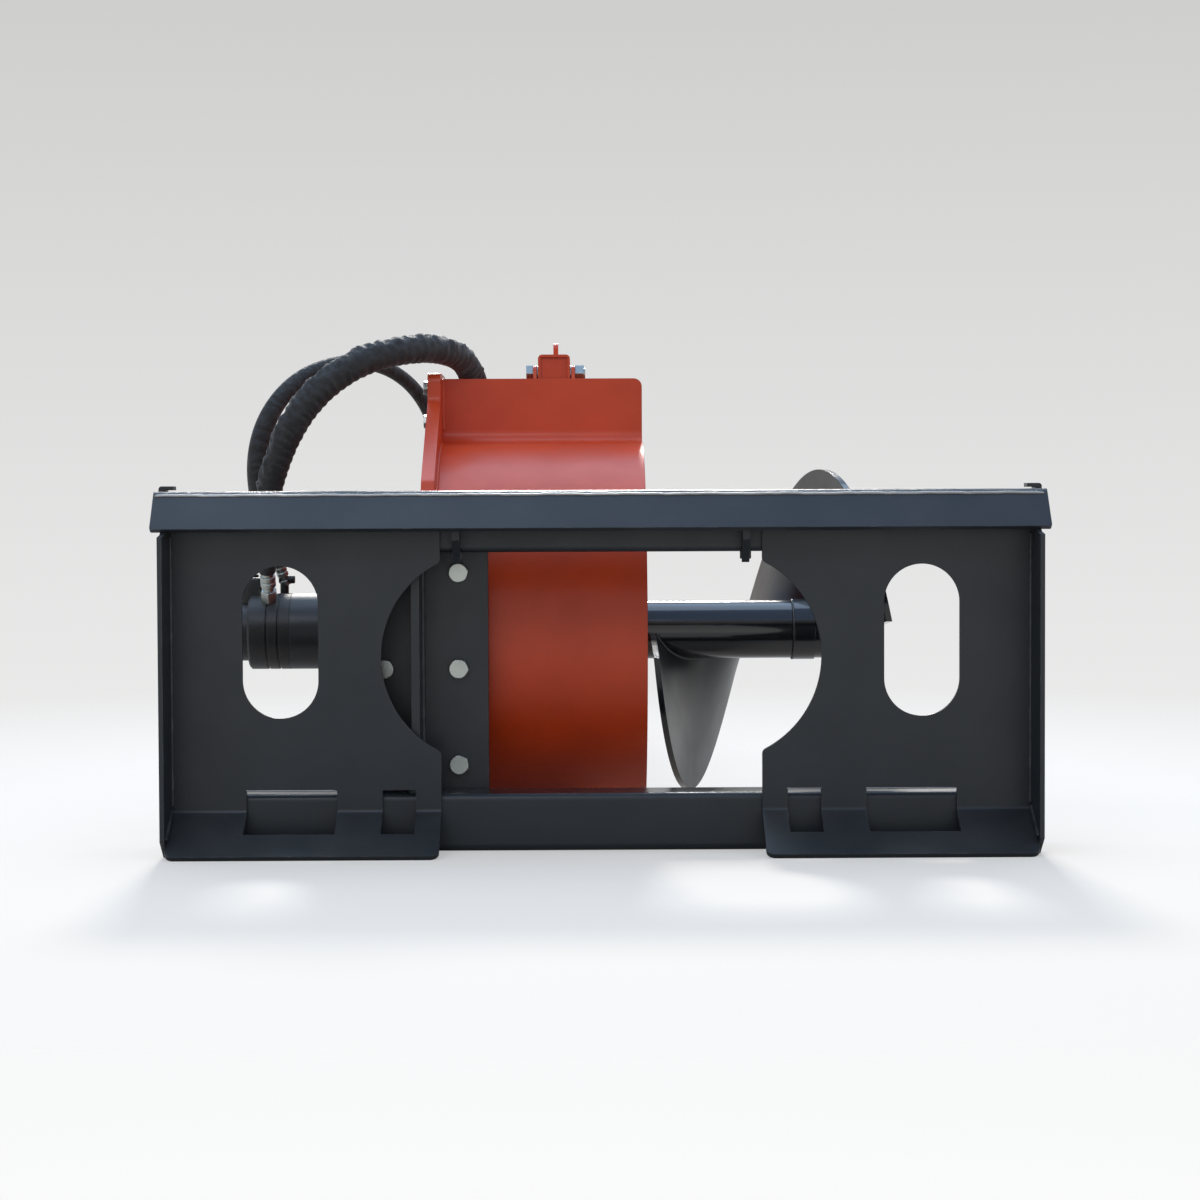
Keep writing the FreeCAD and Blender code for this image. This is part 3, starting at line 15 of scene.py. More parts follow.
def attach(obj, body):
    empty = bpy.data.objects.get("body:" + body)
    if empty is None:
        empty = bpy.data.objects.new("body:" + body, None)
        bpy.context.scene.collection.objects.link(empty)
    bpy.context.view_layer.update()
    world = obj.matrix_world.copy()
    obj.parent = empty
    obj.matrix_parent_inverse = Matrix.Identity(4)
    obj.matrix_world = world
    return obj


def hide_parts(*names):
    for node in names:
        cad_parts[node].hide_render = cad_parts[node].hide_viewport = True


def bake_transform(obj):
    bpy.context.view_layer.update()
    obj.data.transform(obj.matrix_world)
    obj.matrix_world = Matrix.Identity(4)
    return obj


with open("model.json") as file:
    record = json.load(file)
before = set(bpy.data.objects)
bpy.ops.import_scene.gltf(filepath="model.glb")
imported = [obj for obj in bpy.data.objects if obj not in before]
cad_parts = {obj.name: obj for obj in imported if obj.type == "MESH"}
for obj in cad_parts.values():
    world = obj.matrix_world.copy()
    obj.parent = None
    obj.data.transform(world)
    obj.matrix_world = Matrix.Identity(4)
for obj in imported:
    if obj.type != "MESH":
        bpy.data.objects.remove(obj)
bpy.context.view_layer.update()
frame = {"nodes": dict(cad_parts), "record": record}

# %% [markdown]
# ## The camera
# The photograph was taken from the loader's side, at about the height of the frame's lip and some 3.5 m
# away. Its place, tilt and lens were worked out from places that are known on the real frame, such as the
# ends of the slots. A long lens of 81 mm keeps the plates' edges nearly upright. Three known places are
# then projected by hand, which shows at which pixels the camera sees them.

# %% Camera
CAMERA_PLACE = (-0.0313, -3.5, 0.4511)
PITCH, YAW, ROLL = math.radians(2.047), math.radians(0.486), math.radians(0.236)
camera_data = bpy.data.cameras.new("camera")
camera = bpy.data.objects.new("camera", camera_data)
bpy.context.scene.collection.objects.link(camera)
bpy.context.scene.camera = camera
camera_data.lens = 81.32
camera_data.sensor_width = 36.0
camera_data.clip_end = 60.0
tilt = Matrix.Rotation(math.pi / 2 - PITCH, 4, "X") @ Matrix.Rotation(-ROLL, 4, "Z")
camera.matrix_world = Matrix.Translation(CAMERA_PLACE) @ Matrix.Rotation(-YAW, 4, "Z") @ tilt
bpy.context.view_layer.update()

IMAGE_SIZE = 1200
KNOWN_PLACES = {"slot": (-0.464, 0, 0.2727), "lip end": (0.575, -0.046, 0.418),
                "guard": (-0.223, 0.398, 0.63)}
from_world = camera.matrix_world.inverted()
pixels_per_slope = IMAGE_SIZE * camera_data.lens / camera_data.sensor_width
for name, spot in KNOWN_PLACES.items():
    seen = from_world @ Vector(spot)
    across = IMAGE_SIZE / 2 - pixels_per_slope * seen.x / seen.z
    down = IMAGE_SIZE / 2 + pixels_per_slope * seen.y / seen.z
    print(name, "at pixel", round(across, 1), round(down, 1))

# %% [markdown]
# ## The hoses
# Two hydraulic hoses feed the motor. Each is a fixed length of stiff rubber hose in a woven sleeve. It
# leaves its fitting upwards, arches over the guard and lies down to the ground beside the boom, where the
# loader's operator picks up its quick coupler. A NURBS spline bends the way a real hose does: its control
# points pull on it, and it never has a corner. The bevel is one metre wide and each point's radius scales
# it down, so that the sleeve can be slack in one place and tight in another.

# %% Hose curves
def hose_curve(name, route, radius, widths=()):
    """A hose along a route; widths widen or narrow it at its first points, as a loose sleeve does."""
    data = bpy.data.curves.new(name, "CURVE")
    data.dimensions = "3D"
    spline = data.splines.new("NURBS")
    spline.points.add(len(route) - 1)
    widths = list(widths) + [1.0] * (len(route) - len(widths))
    for point, spot, width in zip(spline.points, route, widths):
        point.co = (*spot, 1.0)
        point.radius = radius * width
    spline.order_u = 3
    spline.use_endpoint_u = True
    spline.resolution_u = 8
    data.bevel_depth = 1.0
    data.bevel_resolution = 10
    data.use_fill_caps = True
    piece = bpy.data.objects.new(name, data)
    bpy.context.scene.collection.objects.link(piece)
    return piece


ROUTE_A = [
    (-.468, .327, .356), (-.468, .280, .442), (-.437, .244, .538), (-.394, .243, .604), (-.332, .261, .650),
    (-.260, .302, .670), (-.206, .368, .668), (-.181, .449, .645), (-.171, .515, .587), (-.180, .600, .559),
    (-.204, .665, .499), (-.236, .718, .428), (-.269, .756, .349), (-.300, .791, .268), (-.330, .827, .190),
    (-.354, .869, .119), (-.375, .923, .064), (-.391, .983, .030), (-.405, 1.040, .018), (-.418, 1.085, .018),
]
ROUTE_B = [
    (-.459, .404, .363), (-.474, .388, .412), (-.484, .374, .461), (-.487, .366, .510), (-.478, .367, .558),
    (-.457, .378, .600), (-.426, .401, .633), (-.388, .435, .653), (-.350, .475, .660), (-.314, .518, .654),
    (-.283, .561, .635), (-.259, .598, .604), (-.243, .629, .561), (-.237, .652, .508), (-.239, .669, .446),
    (-.250, .683, .377), (-.265, .695, .305), (-.286, .709, .233), (-.310, .726, .165), (-.338, .748, .105),
    (-.370, .777, .059), (-.403, .814, .027), (-.436, .862, .0105), (-.468, .925, .0105),
]
HOSE_A_WIDTHS = (0.64, 0.84, 0.96)
HOSE_B_WIDTHS = (0.9, 1.3, 1.4, 1.4, 1.35, 1.25, 1.15, 1.05)
hose_a = hose_curve("hose_a_sleeved", ROUTE_A, 0.018, HOSE_A_WIDTHS)
hose_b = hose_curve("hose_b_sleeved", ROUTE_B, 0.0105, HOSE_B_WIDTHS)
print("hoses", hose_a.name, hose_b.name)

# %% [markdown]
# ## A sleeve that bunches up
# The thick hose wears a nylon sleeve that is longer than the hose. On the inner side of the arch the slack
# gathers in small folds, which give the hose its notched outline. One fold is a ring, extruded and resized
# four times. An Array modifier repeats it along the arch and a Curve modifier bends the row. A Displace
# modifier with a cloud texture then pushes the folds about, and a vertex group holds that back on the outer
# side, where the sleeve is tight.

# %% Repeat and bunch up
ARCH_MIDDLE = (-0.30, 0.45)
OUTER_SHARE = 0.12


def repeat_along(piece, path, step, merge=False):
    """A row of copies of the active piece, bent onto a path, which is then taken away."""
    row = piece.modifiers.new("row", "ARRAY")
    row.fit_type = "FIT_CURVE"
    row.curve = path
    row.use_relative_offset = False
    row.use_constant_offset = True
    row.constant_offset_displace = (step, 0, 0)
    row.use_merge_vertices = merge
    row.merge_threshold = 0.0004
    bend = piece.modifiers.new("bend", "CURVE")
    bend.object = path
    bpy.ops.object.modifier_apply(modifier="row")
    bpy.ops.object.modifier_apply(modifier="bend")
    bpy.data.objects.remove(path)


def bunch_up(piece, strength):
    """Push the surface of the active piece about, most of all where it faces the middle of the arch."""
    inner = piece.vertex_groups.new(name="inner")
    for vertex in piece.data.vertices:
        inward = Vector((ARCH_MIDDLE[0] - vertex.co.x, 0, ARCH_MIDDLE[1] - vertex.co.z)).normalized()
        share = OUTER_SHARE + max(0.0, inward.dot(vertex.normal))
        inner.add([vertex.index], min(1.0, share), "REPLACE")
    clouds = bpy.data.textures.new(piece.name + "_clouds", "CLOUDS")
    clouds.noise_scale = 0.011
    clouds.noise_depth = 2
    bunch = piece.modifiers.new("bunch", "DISPLACE")
    bunch.texture = clouds
    bunch.texture_coords = "GLOBAL"
    bunch.strength = strength
    bunch.mid_level = 0.42
    bunch.vertex_group = "inner"
    bpy.ops.object.modifier_apply(modifier="bunch")


print("arch round", ARCH_MIDDLE)

# %% Folded sleeve
FOLD_PROFILE = (0.97, 1.01, 1.03, 1.0, 0.97)
SLEEVE_WIDTHS = (0.64, 0.92, 1.08, 1.12, 1.10, 1.08, 1.04)


def folded_sleeve(name, route, widths, radius, pitch):
    """A sleeve of folds that lie pitch apart along the route."""
    path = hose_curve(name + "_path", route, 1.0, widths)
    path.data.bevel_depth = 0.0
    bpy.ops.object.select_all(action="DESELECT")
    bpy.ops.mesh.primitive_circle_add(vertices=32, radius=radius * FOLD_PROFILE[0], fill_type="NOTHING")
    fold = bpy.context.object
    fold.name = name
    bpy.ops.object.mode_set(mode="EDIT")
    bpy.ops.mesh.select_all(action="SELECT")
    for size, next_size in zip(FOLD_PROFILE, FOLD_PROFILE[1:]):
        bpy.ops.mesh.extrude_region_move(TRANSFORM_OT_translate={"value": (0, 0, pitch / 4)})
        bpy.ops.transform.resize(value=(next_size / size, next_size / size, 1))
    bpy.ops.mesh.select_all(action="SELECT")
    bpy.ops.transform.rotate(value=math.pi / 2, orient_axis="Y", center_override=(0, 0, 0))
    bpy.ops.transform.translate(value=(pitch, 0, 0))
    bpy.ops.object.mode_set(mode="OBJECT")
    repeat_along(fold, path, pitch, merge=True)
    bunch_up(fold, 0.0100)
    bpy.ops.object.mode_set(mode="EDIT")
    bpy.ops.mesh.select_all(action="SELECT")
    bpy.ops.mesh.fill_holes(sides=0)
    bpy.ops.mesh.normals_make_consistent(inside=False)
    bpy.ops.object.mode_set(mode="OBJECT")
    bpy.ops.object.shade_smooth()
    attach(fold, "frame")
    return fold


sleeve_folds = folded_sleeve("hose_a_folds", ROUTE_A[:9], SLEEVE_WIDTHS, radius=0.0186, pitch=0.0125)
print("folds", len(sleeve_folds.data.polygons))

# %% [markdown]
# ## Hoses on the frame
# A hose has a real length, a thickness and something on its far end, here the quick coupler that the CAD
# model brings. Each hose is attached to the frame, and the plain CAD tube that it stands for is hidden.

for piece, node, route, length, diameter, on_it in (
    (hose_a, "hose_a", ROUTE_A, 1.59, 0.036, [sleeve_folds]),
    (hose_b, "hose_b", ROUTE_B, 1.37, 0.021, []),
):
    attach(piece, "frame")
    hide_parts(node)
    print(piece.name, "length", length)

# %% [markdown]
# ## Materials
# Painted steel is never one flat colour. The coat is thinner on edges and rubs away there first, dust
# settles on what faces up, and the sprayed surface has a fine orange-peel ripple. One node group makes
# these three effects for every painted part, so each material only says its colours and amounts. Object
# coordinates keep the grain the same size on every part. A few short helpers come first, each for one kind
# of node.

# %% Helpers for nodes
def feed(tree, socket, value):
    """Link a socket to another node's output, or set its value."""
    if isinstance(value, bpy.types.NodeSocket):
        tree.links.new(value, socket)
    else:
        socket.default_value = value


def object_place(tree):
    return tree.nodes.new("ShaderNodeTexCoord").outputs["Object"]


def split(tree, vector):
    """The X, Y and Z of a vector."""
    node = tree.nodes.new("ShaderNodeSeparateXYZ")
    tree.links.new(vector, node.inputs[0])
    return node.outputs


def noise(tree, place, scale, detail=4.0, rough=0.55):
    node = tree.nodes.new("ShaderNodeTexNoise")
    node.inputs["Scale"].default_value = scale
    node.inputs["Detail"].default_value = detail
    node.inputs["Roughness"].default_value = rough
    tree.links.new(place, node.inputs["Vector"])
    return node.outputs["Fac"]


def remap(tree, value, low, high, out_low=0.0, out_high=1.0):
    """Stretch a range of values onto another one; beyond its ends the result stays level."""
    node = tree.nodes.new("ShaderNodeMapRange")
    node.clamp = True
    for i, number in enumerate((low, high, out_low, out_high), start=1):
        node.inputs[i].default_value = number
    tree.links.new(value, node.inputs[0])
    return node.outputs[0]


def math_node(tree, kind, a, b=0.0, clamp=False):
    node = tree.nodes.new("ShaderNodeMath")
    node.operation = kind
    node.use_clamp = clamp
    feed(tree, node.inputs[0], a)
    feed(tree, node.inputs[1], b)
    return node.outputs[0]


def product(tree, first, *others):
    for other in others:
        first = math_node(tree, "MULTIPLY", first, other)
    return first


def mix_colour(tree, amount, a, b):
    node = tree.nodes.new("ShaderNodeMix")
    node.data_type = "RGBA"
    for index, value in ((0, amount), (6, a), (7, b)):
        feed(tree, node.inputs[index], value)
    return node.outputs[2]


def bump(tree, height, strength, distance, normal=None):
    node = tree.nodes.new("ShaderNodeBump")
    node.inputs["Distance"].default_value = distance
    feed(tree, node.inputs["Strength"], strength)
    tree.links.new(height, node.inputs["Height"])
    if normal is not None:
        tree.links.new(normal, node.inputs["Normal"])
    return node.outputs[0]


print("helpers ready")

# %% [markdown]
# ## The group itself
# Wear is found where a rounded normal and the true one part, which happens only at edges, and a noise
# breaks it into patches. Dust lies where the true normal points up. A wide noise smears two shades of the
# coat into each other. Each effect changes the colour, and dust and smears dull the gloss a little as well.

# %% A node group for painted and plated steel
COLOUR, NUMBER, VECTOR = "NodeSocketColor", "NodeSocketFloat", "NodeSocketVector"
EDGE_WIDTH = 0.0016
PEEL_HEIGHT = 0.0006
group = bpy.data.node_groups.new("coated_steel", "ShaderNodeTree")
for label, kind, value in (
    ("Coat", COLOUR, (0.02, 0.03, 0.04, 1)), ("Shade", COLOUR, (0.01, 0.015, 0.02, 1)),
    ("Bare", COLOUR, (0.35, 0.34, 0.33, 1)), ("Dust", COLOUR, (0.4, 0.37, 0.33, 1)),
    ("Roughness", NUMBER, 0.35), ("Wear", NUMBER, 0.5), ("Dusty", NUMBER, 0.3), ("Peel", NUMBER, 0.05),
    ("Plated", NUMBER, 0.0),
):
    group.interface.new_socket(label, in_out="INPUT", socket_type=kind).default_value = value
for label, kind in (("Color", COLOUR), ("Roughness", NUMBER), ("Metallic", NUMBER), ("Normal", VECTOR)):
    group.interface.new_socket(label, in_out="OUTPUT", socket_type=kind)
given = group.nodes.new("NodeGroupInput").outputs
result = group.nodes.new("NodeGroupOutput").inputs

place = object_place(group)
true_normal = group.nodes.new("ShaderNodeNewGeometry").outputs["Normal"]
rounded = group.nodes.new("ShaderNodeBevel")
rounded.inputs["Radius"].default_value = EDGE_WIDTH
likeness = group.nodes.new("ShaderNodeVectorMath")
likeness.operation = "DOT_PRODUCT"
group.links.new(rounded.outputs[0], likeness.inputs[0])
group.links.new(true_normal, likeness.inputs[1])
edge = remap(group, likeness.outputs["Value"], 0.995, 0.90)
patchy = remap(group, noise(group, place, 38.0, 6.0), 0.48, 0.66)
worn = product(group, edge, patchy, given["Wear"])
settled = remap(group, split(group, true_normal)["Z"], 0.25, 0.95)
cloudy = remap(group, noise(group, place, 7.0, 8.0, 0.6), 0.35, 0.7, 0.15, 1.0)
dust = product(group, settled, cloudy, given["Dusty"])
smear = remap(group, noise(group, place, 11.0, 5.0), 0.35, 0.72)
coat = mix_colour(group, product(group, smear, 0.8), given["Coat"], given["Shade"])
coat = mix_colour(group, dust, coat, given["Dust"])
coat = mix_colour(group, worn, coat, given["Bare"])
gloss = math_node(group, "ADD", given["Roughness"], product(group, smear, 0.09), clamp=True)
gloss = math_node(group, "ADD", gloss, product(group, dust, 0.45), clamp=True)
peel = bump(group, noise(group, place, 260.0, 3.0), given["Peel"], PEEL_HEIGHT, rounded.outputs[0])
group.links.new(coat, result["Color"])
group.links.new(gloss, result["Roughness"])
group.links.new(math_node(group, "MAXIMUM", worn, given["Plated"]), result["Metallic"])
group.links.new(peel, result["Normal"])
print("group", group.name, "nodes", len(group.nodes))

# %% [markdown]
# ## Two special finishes
# The lip's fold and the top of the lower tube are rubbed smooth, because the loader's plate and pins slide
# on them, and the sun glances off them in a broken line. A noise that is stretched along the frame and
# turned into bumps breaks the fold's reflection into such streaks. Both places are found by their height
# and by a normal that points up.
#
# The auger's tube is glossy, but its flight isn't: soil scours the flat faces. They are found by a normal
# that points along the shaft, and get more roughness and no clear coat.

# %% Finishes for the fold and the flight
STREAK_SCALE = (16.0, 420.0, 420.0)
STREAK_HEIGHT = 0.0011


def polish_tops(tree, node, shader, roughness, polished):
    """Smooth and streaked on the lip's fold, smooth on the lower tube's top."""
    facing = split(tree, tree.nodes.new("ShaderNodeNewGeometry").outputs["Normal"])
    place = object_place(tree)
    height = split(tree, place)["Z"]
    on_lip = product(tree, remap(tree, facing["Z"], 0.70, 0.85), remap(tree, height, 0.44, 0.45))
    on_tube = product(tree, remap(tree, facing["Z"], 0.93, 0.98), remap(tree, height, 0.080, 0.078))
    glinting = math_node(tree, "MAXIMUM", on_lip, on_tube)
    tree.links.new(remap(tree, glinting, 0.0, 1.0, roughness, polished), node.inputs["Roughness"])
    stretch = tree.nodes.new("ShaderNodeVectorMath")
    stretch.operation = "MULTIPLY"
    stretch.inputs[1].default_value = STREAK_SCALE
    tree.links.new(place, stretch.inputs[0])
    streaks = noise(tree, stretch.outputs[0], 1.0, 3.0)
    streaked = bump(tree, streaks, on_lip, STREAK_HEIGHT, node.outputs["Normal"])
    tree.links.new(streaked, shader.inputs["Normal"])


def dull_flight(tree, node, shader, roughness, dull, clear):
    """Duller, and without its clear coat, on faces that look along the shaft."""
    facing = split(tree, tree.nodes.new("ShaderNodeNewGeometry").outputs["Normal"])
    sideways = math_node(tree, "ABSOLUTE", facing["X"])
    tree.links.new(remap(tree, sideways, 0.35, 0.75, roughness, dull), node.inputs["Roughness"])
    tree.links.new(remap(tree, sideways, 0.35, 0.75, clear, 0.0), shader.inputs["Coat Weight"])


print("streaks", STREAK_SCALE)

# %% [markdown]
# ## One material for each slot of the record
# The frame is a satin blue-black powder coat, the guard and crumber a glossy orange-red paint, the auger a
# very glossy black. Bolts and fittings are zinc plated, which is a pale metal with a faint mottle. A clear
# coat on the shader gives fresh paint its second, sharper reflection. Zinc and bare steel are metal all
# over, so that is set on the shader and not worked out by the group.

# %% Steel materials
DUST = (0.36, 0.34, 0.31)
WORN_PAINT = (0.33, 0.32, 0.31)
materials = {}


def steel(name, coat, shade, roughness, wear, dusty, peel, plated=0.0, bare=WORN_PAINT, clear=0.0,
          clear_rough=0.1, polished=0.0, dull=0.0):
    material = bpy.data.materials.new(name)
    material.use_nodes = True
    tree = material.node_tree
    shader = tree.nodes["Principled BSDF"]
    node = tree.nodes.new("ShaderNodeGroup")
    node.node_tree = group
    for label, colour in (("Coat", coat), ("Shade", shade), ("Bare", bare), ("Dust", DUST)):
        node.inputs[label].default_value = (*colour, 1)
    for label, amount in (("Roughness", roughness), ("Wear", wear), ("Dusty", dusty), ("Peel", peel),
                          ("Plated", plated)):
        node.inputs[label].default_value = amount
    tree.links.new(node.outputs["Color"], shader.inputs["Base Color"])
    tree.links.new(node.outputs["Roughness"], shader.inputs["Roughness"])
    tree.links.new(node.outputs["Normal"], shader.inputs["Normal"])
    if plated == 1.0:
        shader.inputs["Metallic"].default_value = plated
    else:
        tree.links.new(node.outputs["Metallic"], shader.inputs["Metallic"])
    shader.inputs["Coat Weight"].default_value = clear
    shader.inputs["Coat Roughness"].default_value = clear_rough
    if polished:
        polish_tops(tree, node, shader, roughness, polished)
    if dull:
        dull_flight(tree, node, shader, roughness, dull, clear)
    materials[name] = material


steel("frame_black", (0.015, 0.019, 0.024), (0.011, 0.014, 0.018), 0.38, wear=0.35, dusty=0.08, peel=0.16,
      clear=0.06, clear_rough=0.25, polished=0.22)
steel("guard_orange", (0.66, 0.058, 0.007), (0.52, 0.043, 0.006), 0.36, wear=0.15, dusty=0.04, peel=0.26,
      bare=(0.25, 0.05, 0.03), clear=0.12, clear_rough=0.14)
steel("auger_black", (0.012, 0.013, 0.016), (0.008, 0.009, 0.011), 0.12, wear=0.12, dusty=0.05, peel=0.10,
      clear=0.5, clear_rough=0.05, dull=0.30)
steel("motor_black", (0.012, 0.013, 0.014), (0.007, 0.007, 0.008), 0.42, wear=0.3, dusty=0.15, peel=0.5)
steel("zinc", (0.50, 0.53, 0.50), (0.30, 0.33, 0.31), 0.30, wear=0.1, dusty=0.15, peel=0.35, plated=1.0)
steel("bare_steel", (0.40, 0.39, 0.37), (0.28, 0.26, 0.24), 0.34, wear=0.3, dusty=0.15, peel=0.15,
      plated=1.0)
steel("chain_steel", (0.13, 0.12, 0.11), (0.07, 0.062, 0.055), 0.42, wear=0.8, dusty=0.3, peel=0.25,
      plated=0.85)
steel("cutter_steel", (0.035, 0.034, 0.034), (0.02, 0.019, 0.018), 0.45, wear=0.9, dusty=0.3, peel=0.4)
print("materials", sorted(materials))

# %% [markdown]
# ## Hose sleeve
# A nylon sleeve is woven from flat black yarn. It is dull, and it creases across the hose where the hose
# bends. A fine noise makes the weave and a wider one the loose creases. The creases across the hose are
# spokes round the middle of the arch: a sine of the angle at which a point is seen from there, made uneven
# by one more noise.

# %% Sleeve material
CREASES_PER_RADIAN = 88.0
CREASE_WANDER = 16.0
sleeve = bpy.data.materials.new("hose_rubber")
sleeve.use_nodes = True
tree = sleeve.node_tree
shader = tree.nodes["Principled BSDF"]
place = object_place(tree)
weave = noise(tree, place, 900.0, 2.0)
crease = noise(tree, place, 62.0, 4.0, 0.6)
spot = split(tree, place)
beside = math_node(tree, "ADD", spot["X"], -ARCH_MIDDLE[0])
above = math_node(tree, "ADD", spot["Z"], -ARCH_MIDDLE[1])
spokes = product(tree, math_node(tree, "ARCTAN2", above, beside), CREASES_PER_RADIAN)
wander = product(tree, noise(tree, place, 26.0, 3.0), CREASE_WANDER)
folds = math_node(tree, "SINE", math_node(tree, "ADD", spokes, wander))
tone = mix_colour(tree, remap(tree, crease, 0.35, 0.7), (0.008, 0.008, 0.009, 1), (0.024, 0.024, 0.026, 1))
tree.links.new(tone, shader.inputs["Base Color"])
tree.links.new(remap(tree, weave, 0.3, 0.7, 0.55, 0.82), shader.inputs["Roughness"])
woven = bump(tree, weave, 0.5, 0.0006)
creased = math_node(tree, "ADD", crease, product(tree, folds, 0.16))
tree.links.new(bump(tree, creased, 0.8, 0.004, woven), shader.inputs["Normal"])
shader.inputs["Sheen Weight"].default_value = 0.15
materials["hose_rubber"] = sleeve
for piece in (hose_a, sleeve_folds, hose_b):
    piece.data.materials.append(sleeve)
    print("sleeve on", piece.name)

# %% [markdown]
# ## Dressing the CAD parts
# The record says which slot each node takes its finish from, so a loop can hand out the materials.
# Assigning to the object's own slot leaves the CAD mesh as it was.

# %% Assign materials
slots = {entry["node"]: entry["material_slot"] for entry in frame["record"]["subparts"]}
for node, slot in slots.items():
    for place_in_list in frame["nodes"][node].material_slots:
        place_in_list.link = "OBJECT"
        place_in_list.material = materials[slot]
print("dressed", len(slots))

# %% [markdown]
# ## Weld beads
# The frame is welded from plate and tube. A bead is a row of small overlapping ripples. One flattened ball,
# repeated along a curve with an Array modifier and bent onto it with a Curve modifier, gives the ripples in
# the right rhythm, on straight seams and round ones alike.

# %% Weld helper
SHAFT_Y, SHAFT_Z = 0.378, 0.270


def seam_curve(name, points):
    data = bpy.data.curves.new(name, "CURVE")
    data.dimensions = "3D"
    spline = data.splines.new("POLY")
    spline.points.add(len(points) - 1)
    for point, spot in zip(spline.points, points):
        point.co = (*spot, 1.0)
    path = bpy.data.objects.new(name, data)
    bpy.context.scene.collection.objects.link(path)
    return path


def weld(name, points, body, slot, radius, stretch=0.7, pitch=0.62):
    """A bead; stretch is a ripple's length and pitch its step to the next, as shares of the radius."""
    path = seam_curve(name + "_path", points)
    bpy.ops.object.select_all(action="DESELECT")
    bpy.ops.mesh.primitive_ico_sphere_add(subdivisions=2, radius=radius)
    bead = bpy.context.object
    bead.name = name
    bpy.ops.object.mode_set(mode="EDIT")
    bpy.ops.transform.resize(value=(stretch, 1.0, 1.0))
    bpy.ops.object.mode_set(mode="OBJECT")
    repeat_along(bead, path, radius * pitch)
    bpy.ops.object.shade_smooth()
    bead.data.materials.append(materials[slot])
    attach(bead, body)
    return bead


def shaft_arc(x, radius, start, end, steps=24):
    """Points of an arc round the shaft, with its angles in degrees."""
    spots = []
    for i in range(steps + 1):
        angle = math.radians(start + (end - start) * i / steps)
        spots.append((x, SHAFT_Y + radius * math.cos(angle), SHAFT_Z + radius * math.sin(angle)))
    return spots


print("shaft at", SHAFT_Y, SHAFT_Z)

# %% [markdown]
# ## Where the beads go
# Beads sit in inside corners: along the web of the post, down the end plates and their ledges, at the ribs,
# between the guard and its side plate, round the bearing housing and round the auger's hub.

# %% Weld the frame
WEB_X, WEB_HALF = -0.2415, 0.0055
RIB_X, RIB_HALF = 0.187, 0.005
END_X = 0.556
GUARD_SIDE_X = -0.2225
HOUSING_X = -0.257
HUB_X = 0.2765
beads = []
for side in (-1, 1):
    web_x, end_x = WEB_X + side * WEB_HALF, side * END_X
    seams = [
        ("web_flange_%d" % (side + 1), [(web_x, 0.081, 0.078), (web_x, 0.081, 0.386)], 0.0045),
        ("web_low_%d" % (side + 1), [(web_x, 0.018, 0.0755), (web_x, 0.079, 0.0755)], 0.0035),
        ("end_plate_%d" % (side + 1), [(end_x, 0.0, 0.062), (end_x, 0.0, 0.410)], 0.0030),
        ("end_ledge_%d" % (side + 1), [(end_x, -0.062, 0.0255), (end_x, -0.008, 0.0565)], 0.0035),
    ]
    for rib_x in (side * RIB_X - RIB_HALF, side * RIB_X + RIB_HALF):
        rib_seam = [(rib_x, 0.0064, 0.380), (rib_x, 0.0064, 0.388)]
        seams.append(("rib_%d" % round(rib_x * 1000 + 500), rib_seam, 0.0025))
    for name, points, radius in seams:
        beads.append(weld("weld_" + name, points, "frame", "frame_black", radius))
guard_seam = [(GUARD_SIDE_X, 0.398, 0.558), (GUARD_SIDE_X, 0.398, 0.628)]
for name, points, body, slot, radius in (
    ("weld_guard_strip", guard_seam, "frame", "guard_orange", 0.0035),
    ("weld_guard_arc", shaft_arc(GUARD_SIDE_X, 0.266, 92, 160), "frame", "guard_orange", 0.0035),
    ("weld_housing", shaft_arc(HOUSING_X, 0.054, 20, 340, 40), "frame", "frame_black", 0.0035),
    ("weld_auger_hub", shaft_arc(HUB_X, 0.0415, 0, 355, 40), "drive", "auger_black", 0.0025),
):
    beads.append(weld(name, points, body, slot, radius))
print("beads", len(beads), "faces", sum(len(bead.data.polygons) for bead in beads))

# %% [markdown]
# ## The flight's own seams
# The flight is welded to the auger's tube on both sides. Its turn isn't even, so its place along the tube
# was measured at five angles, and one smooth curve through these five gives every place between them. Each
# side has two seams, with a gap where the flight crosses the end of the sleeve.

# %% Weld the flight
FLIGHT_STATIONS = ((7, 0.072), (90, 0.128), (180, 0.221), (270, 0.314), (355, 0.386))
FOOT_R = 0.0425


def flight_place(angle):
    """Place along the auger's tube of the flight's left face, at a turn angle in degrees."""
    total = 0.0
    for a, x in FLIGHT_STATIONS:
        weight = x
        for b, _ in FLIGHT_STATIONS:
            if b != a:
                weight *= (angle - b) / (a - b)
        total += weight
    return total


def flight_foot(offset, start, end, steps=60):
    """Points where one side of the flight meets the auger's tube, from one turn angle to another."""
    spots = []
    for i in range(steps + 1):
        angle = start + (end - start) * i / steps
        a = math.radians(angle)
        y, z = SHAFT_Y - FOOT_R * math.cos(a), SHAFT_Z - FOOT_R * math.sin(a)
        spots.append((flight_place(angle) + offset, y, z))
    return spots


for side, offset in (("near", -0.001), ("far", 0.009)):
    for number, start, end, steps in ((1, 8, 225, 60), (2, 274, 354, 24)):
        name = "weld_flight_%s_%d" % (side, number)
        bead = weld(name, flight_foot(offset, start, end, steps), "drive", "auger_black", 0.0032)
        print(name, "faces", len(bead.data.polygons))
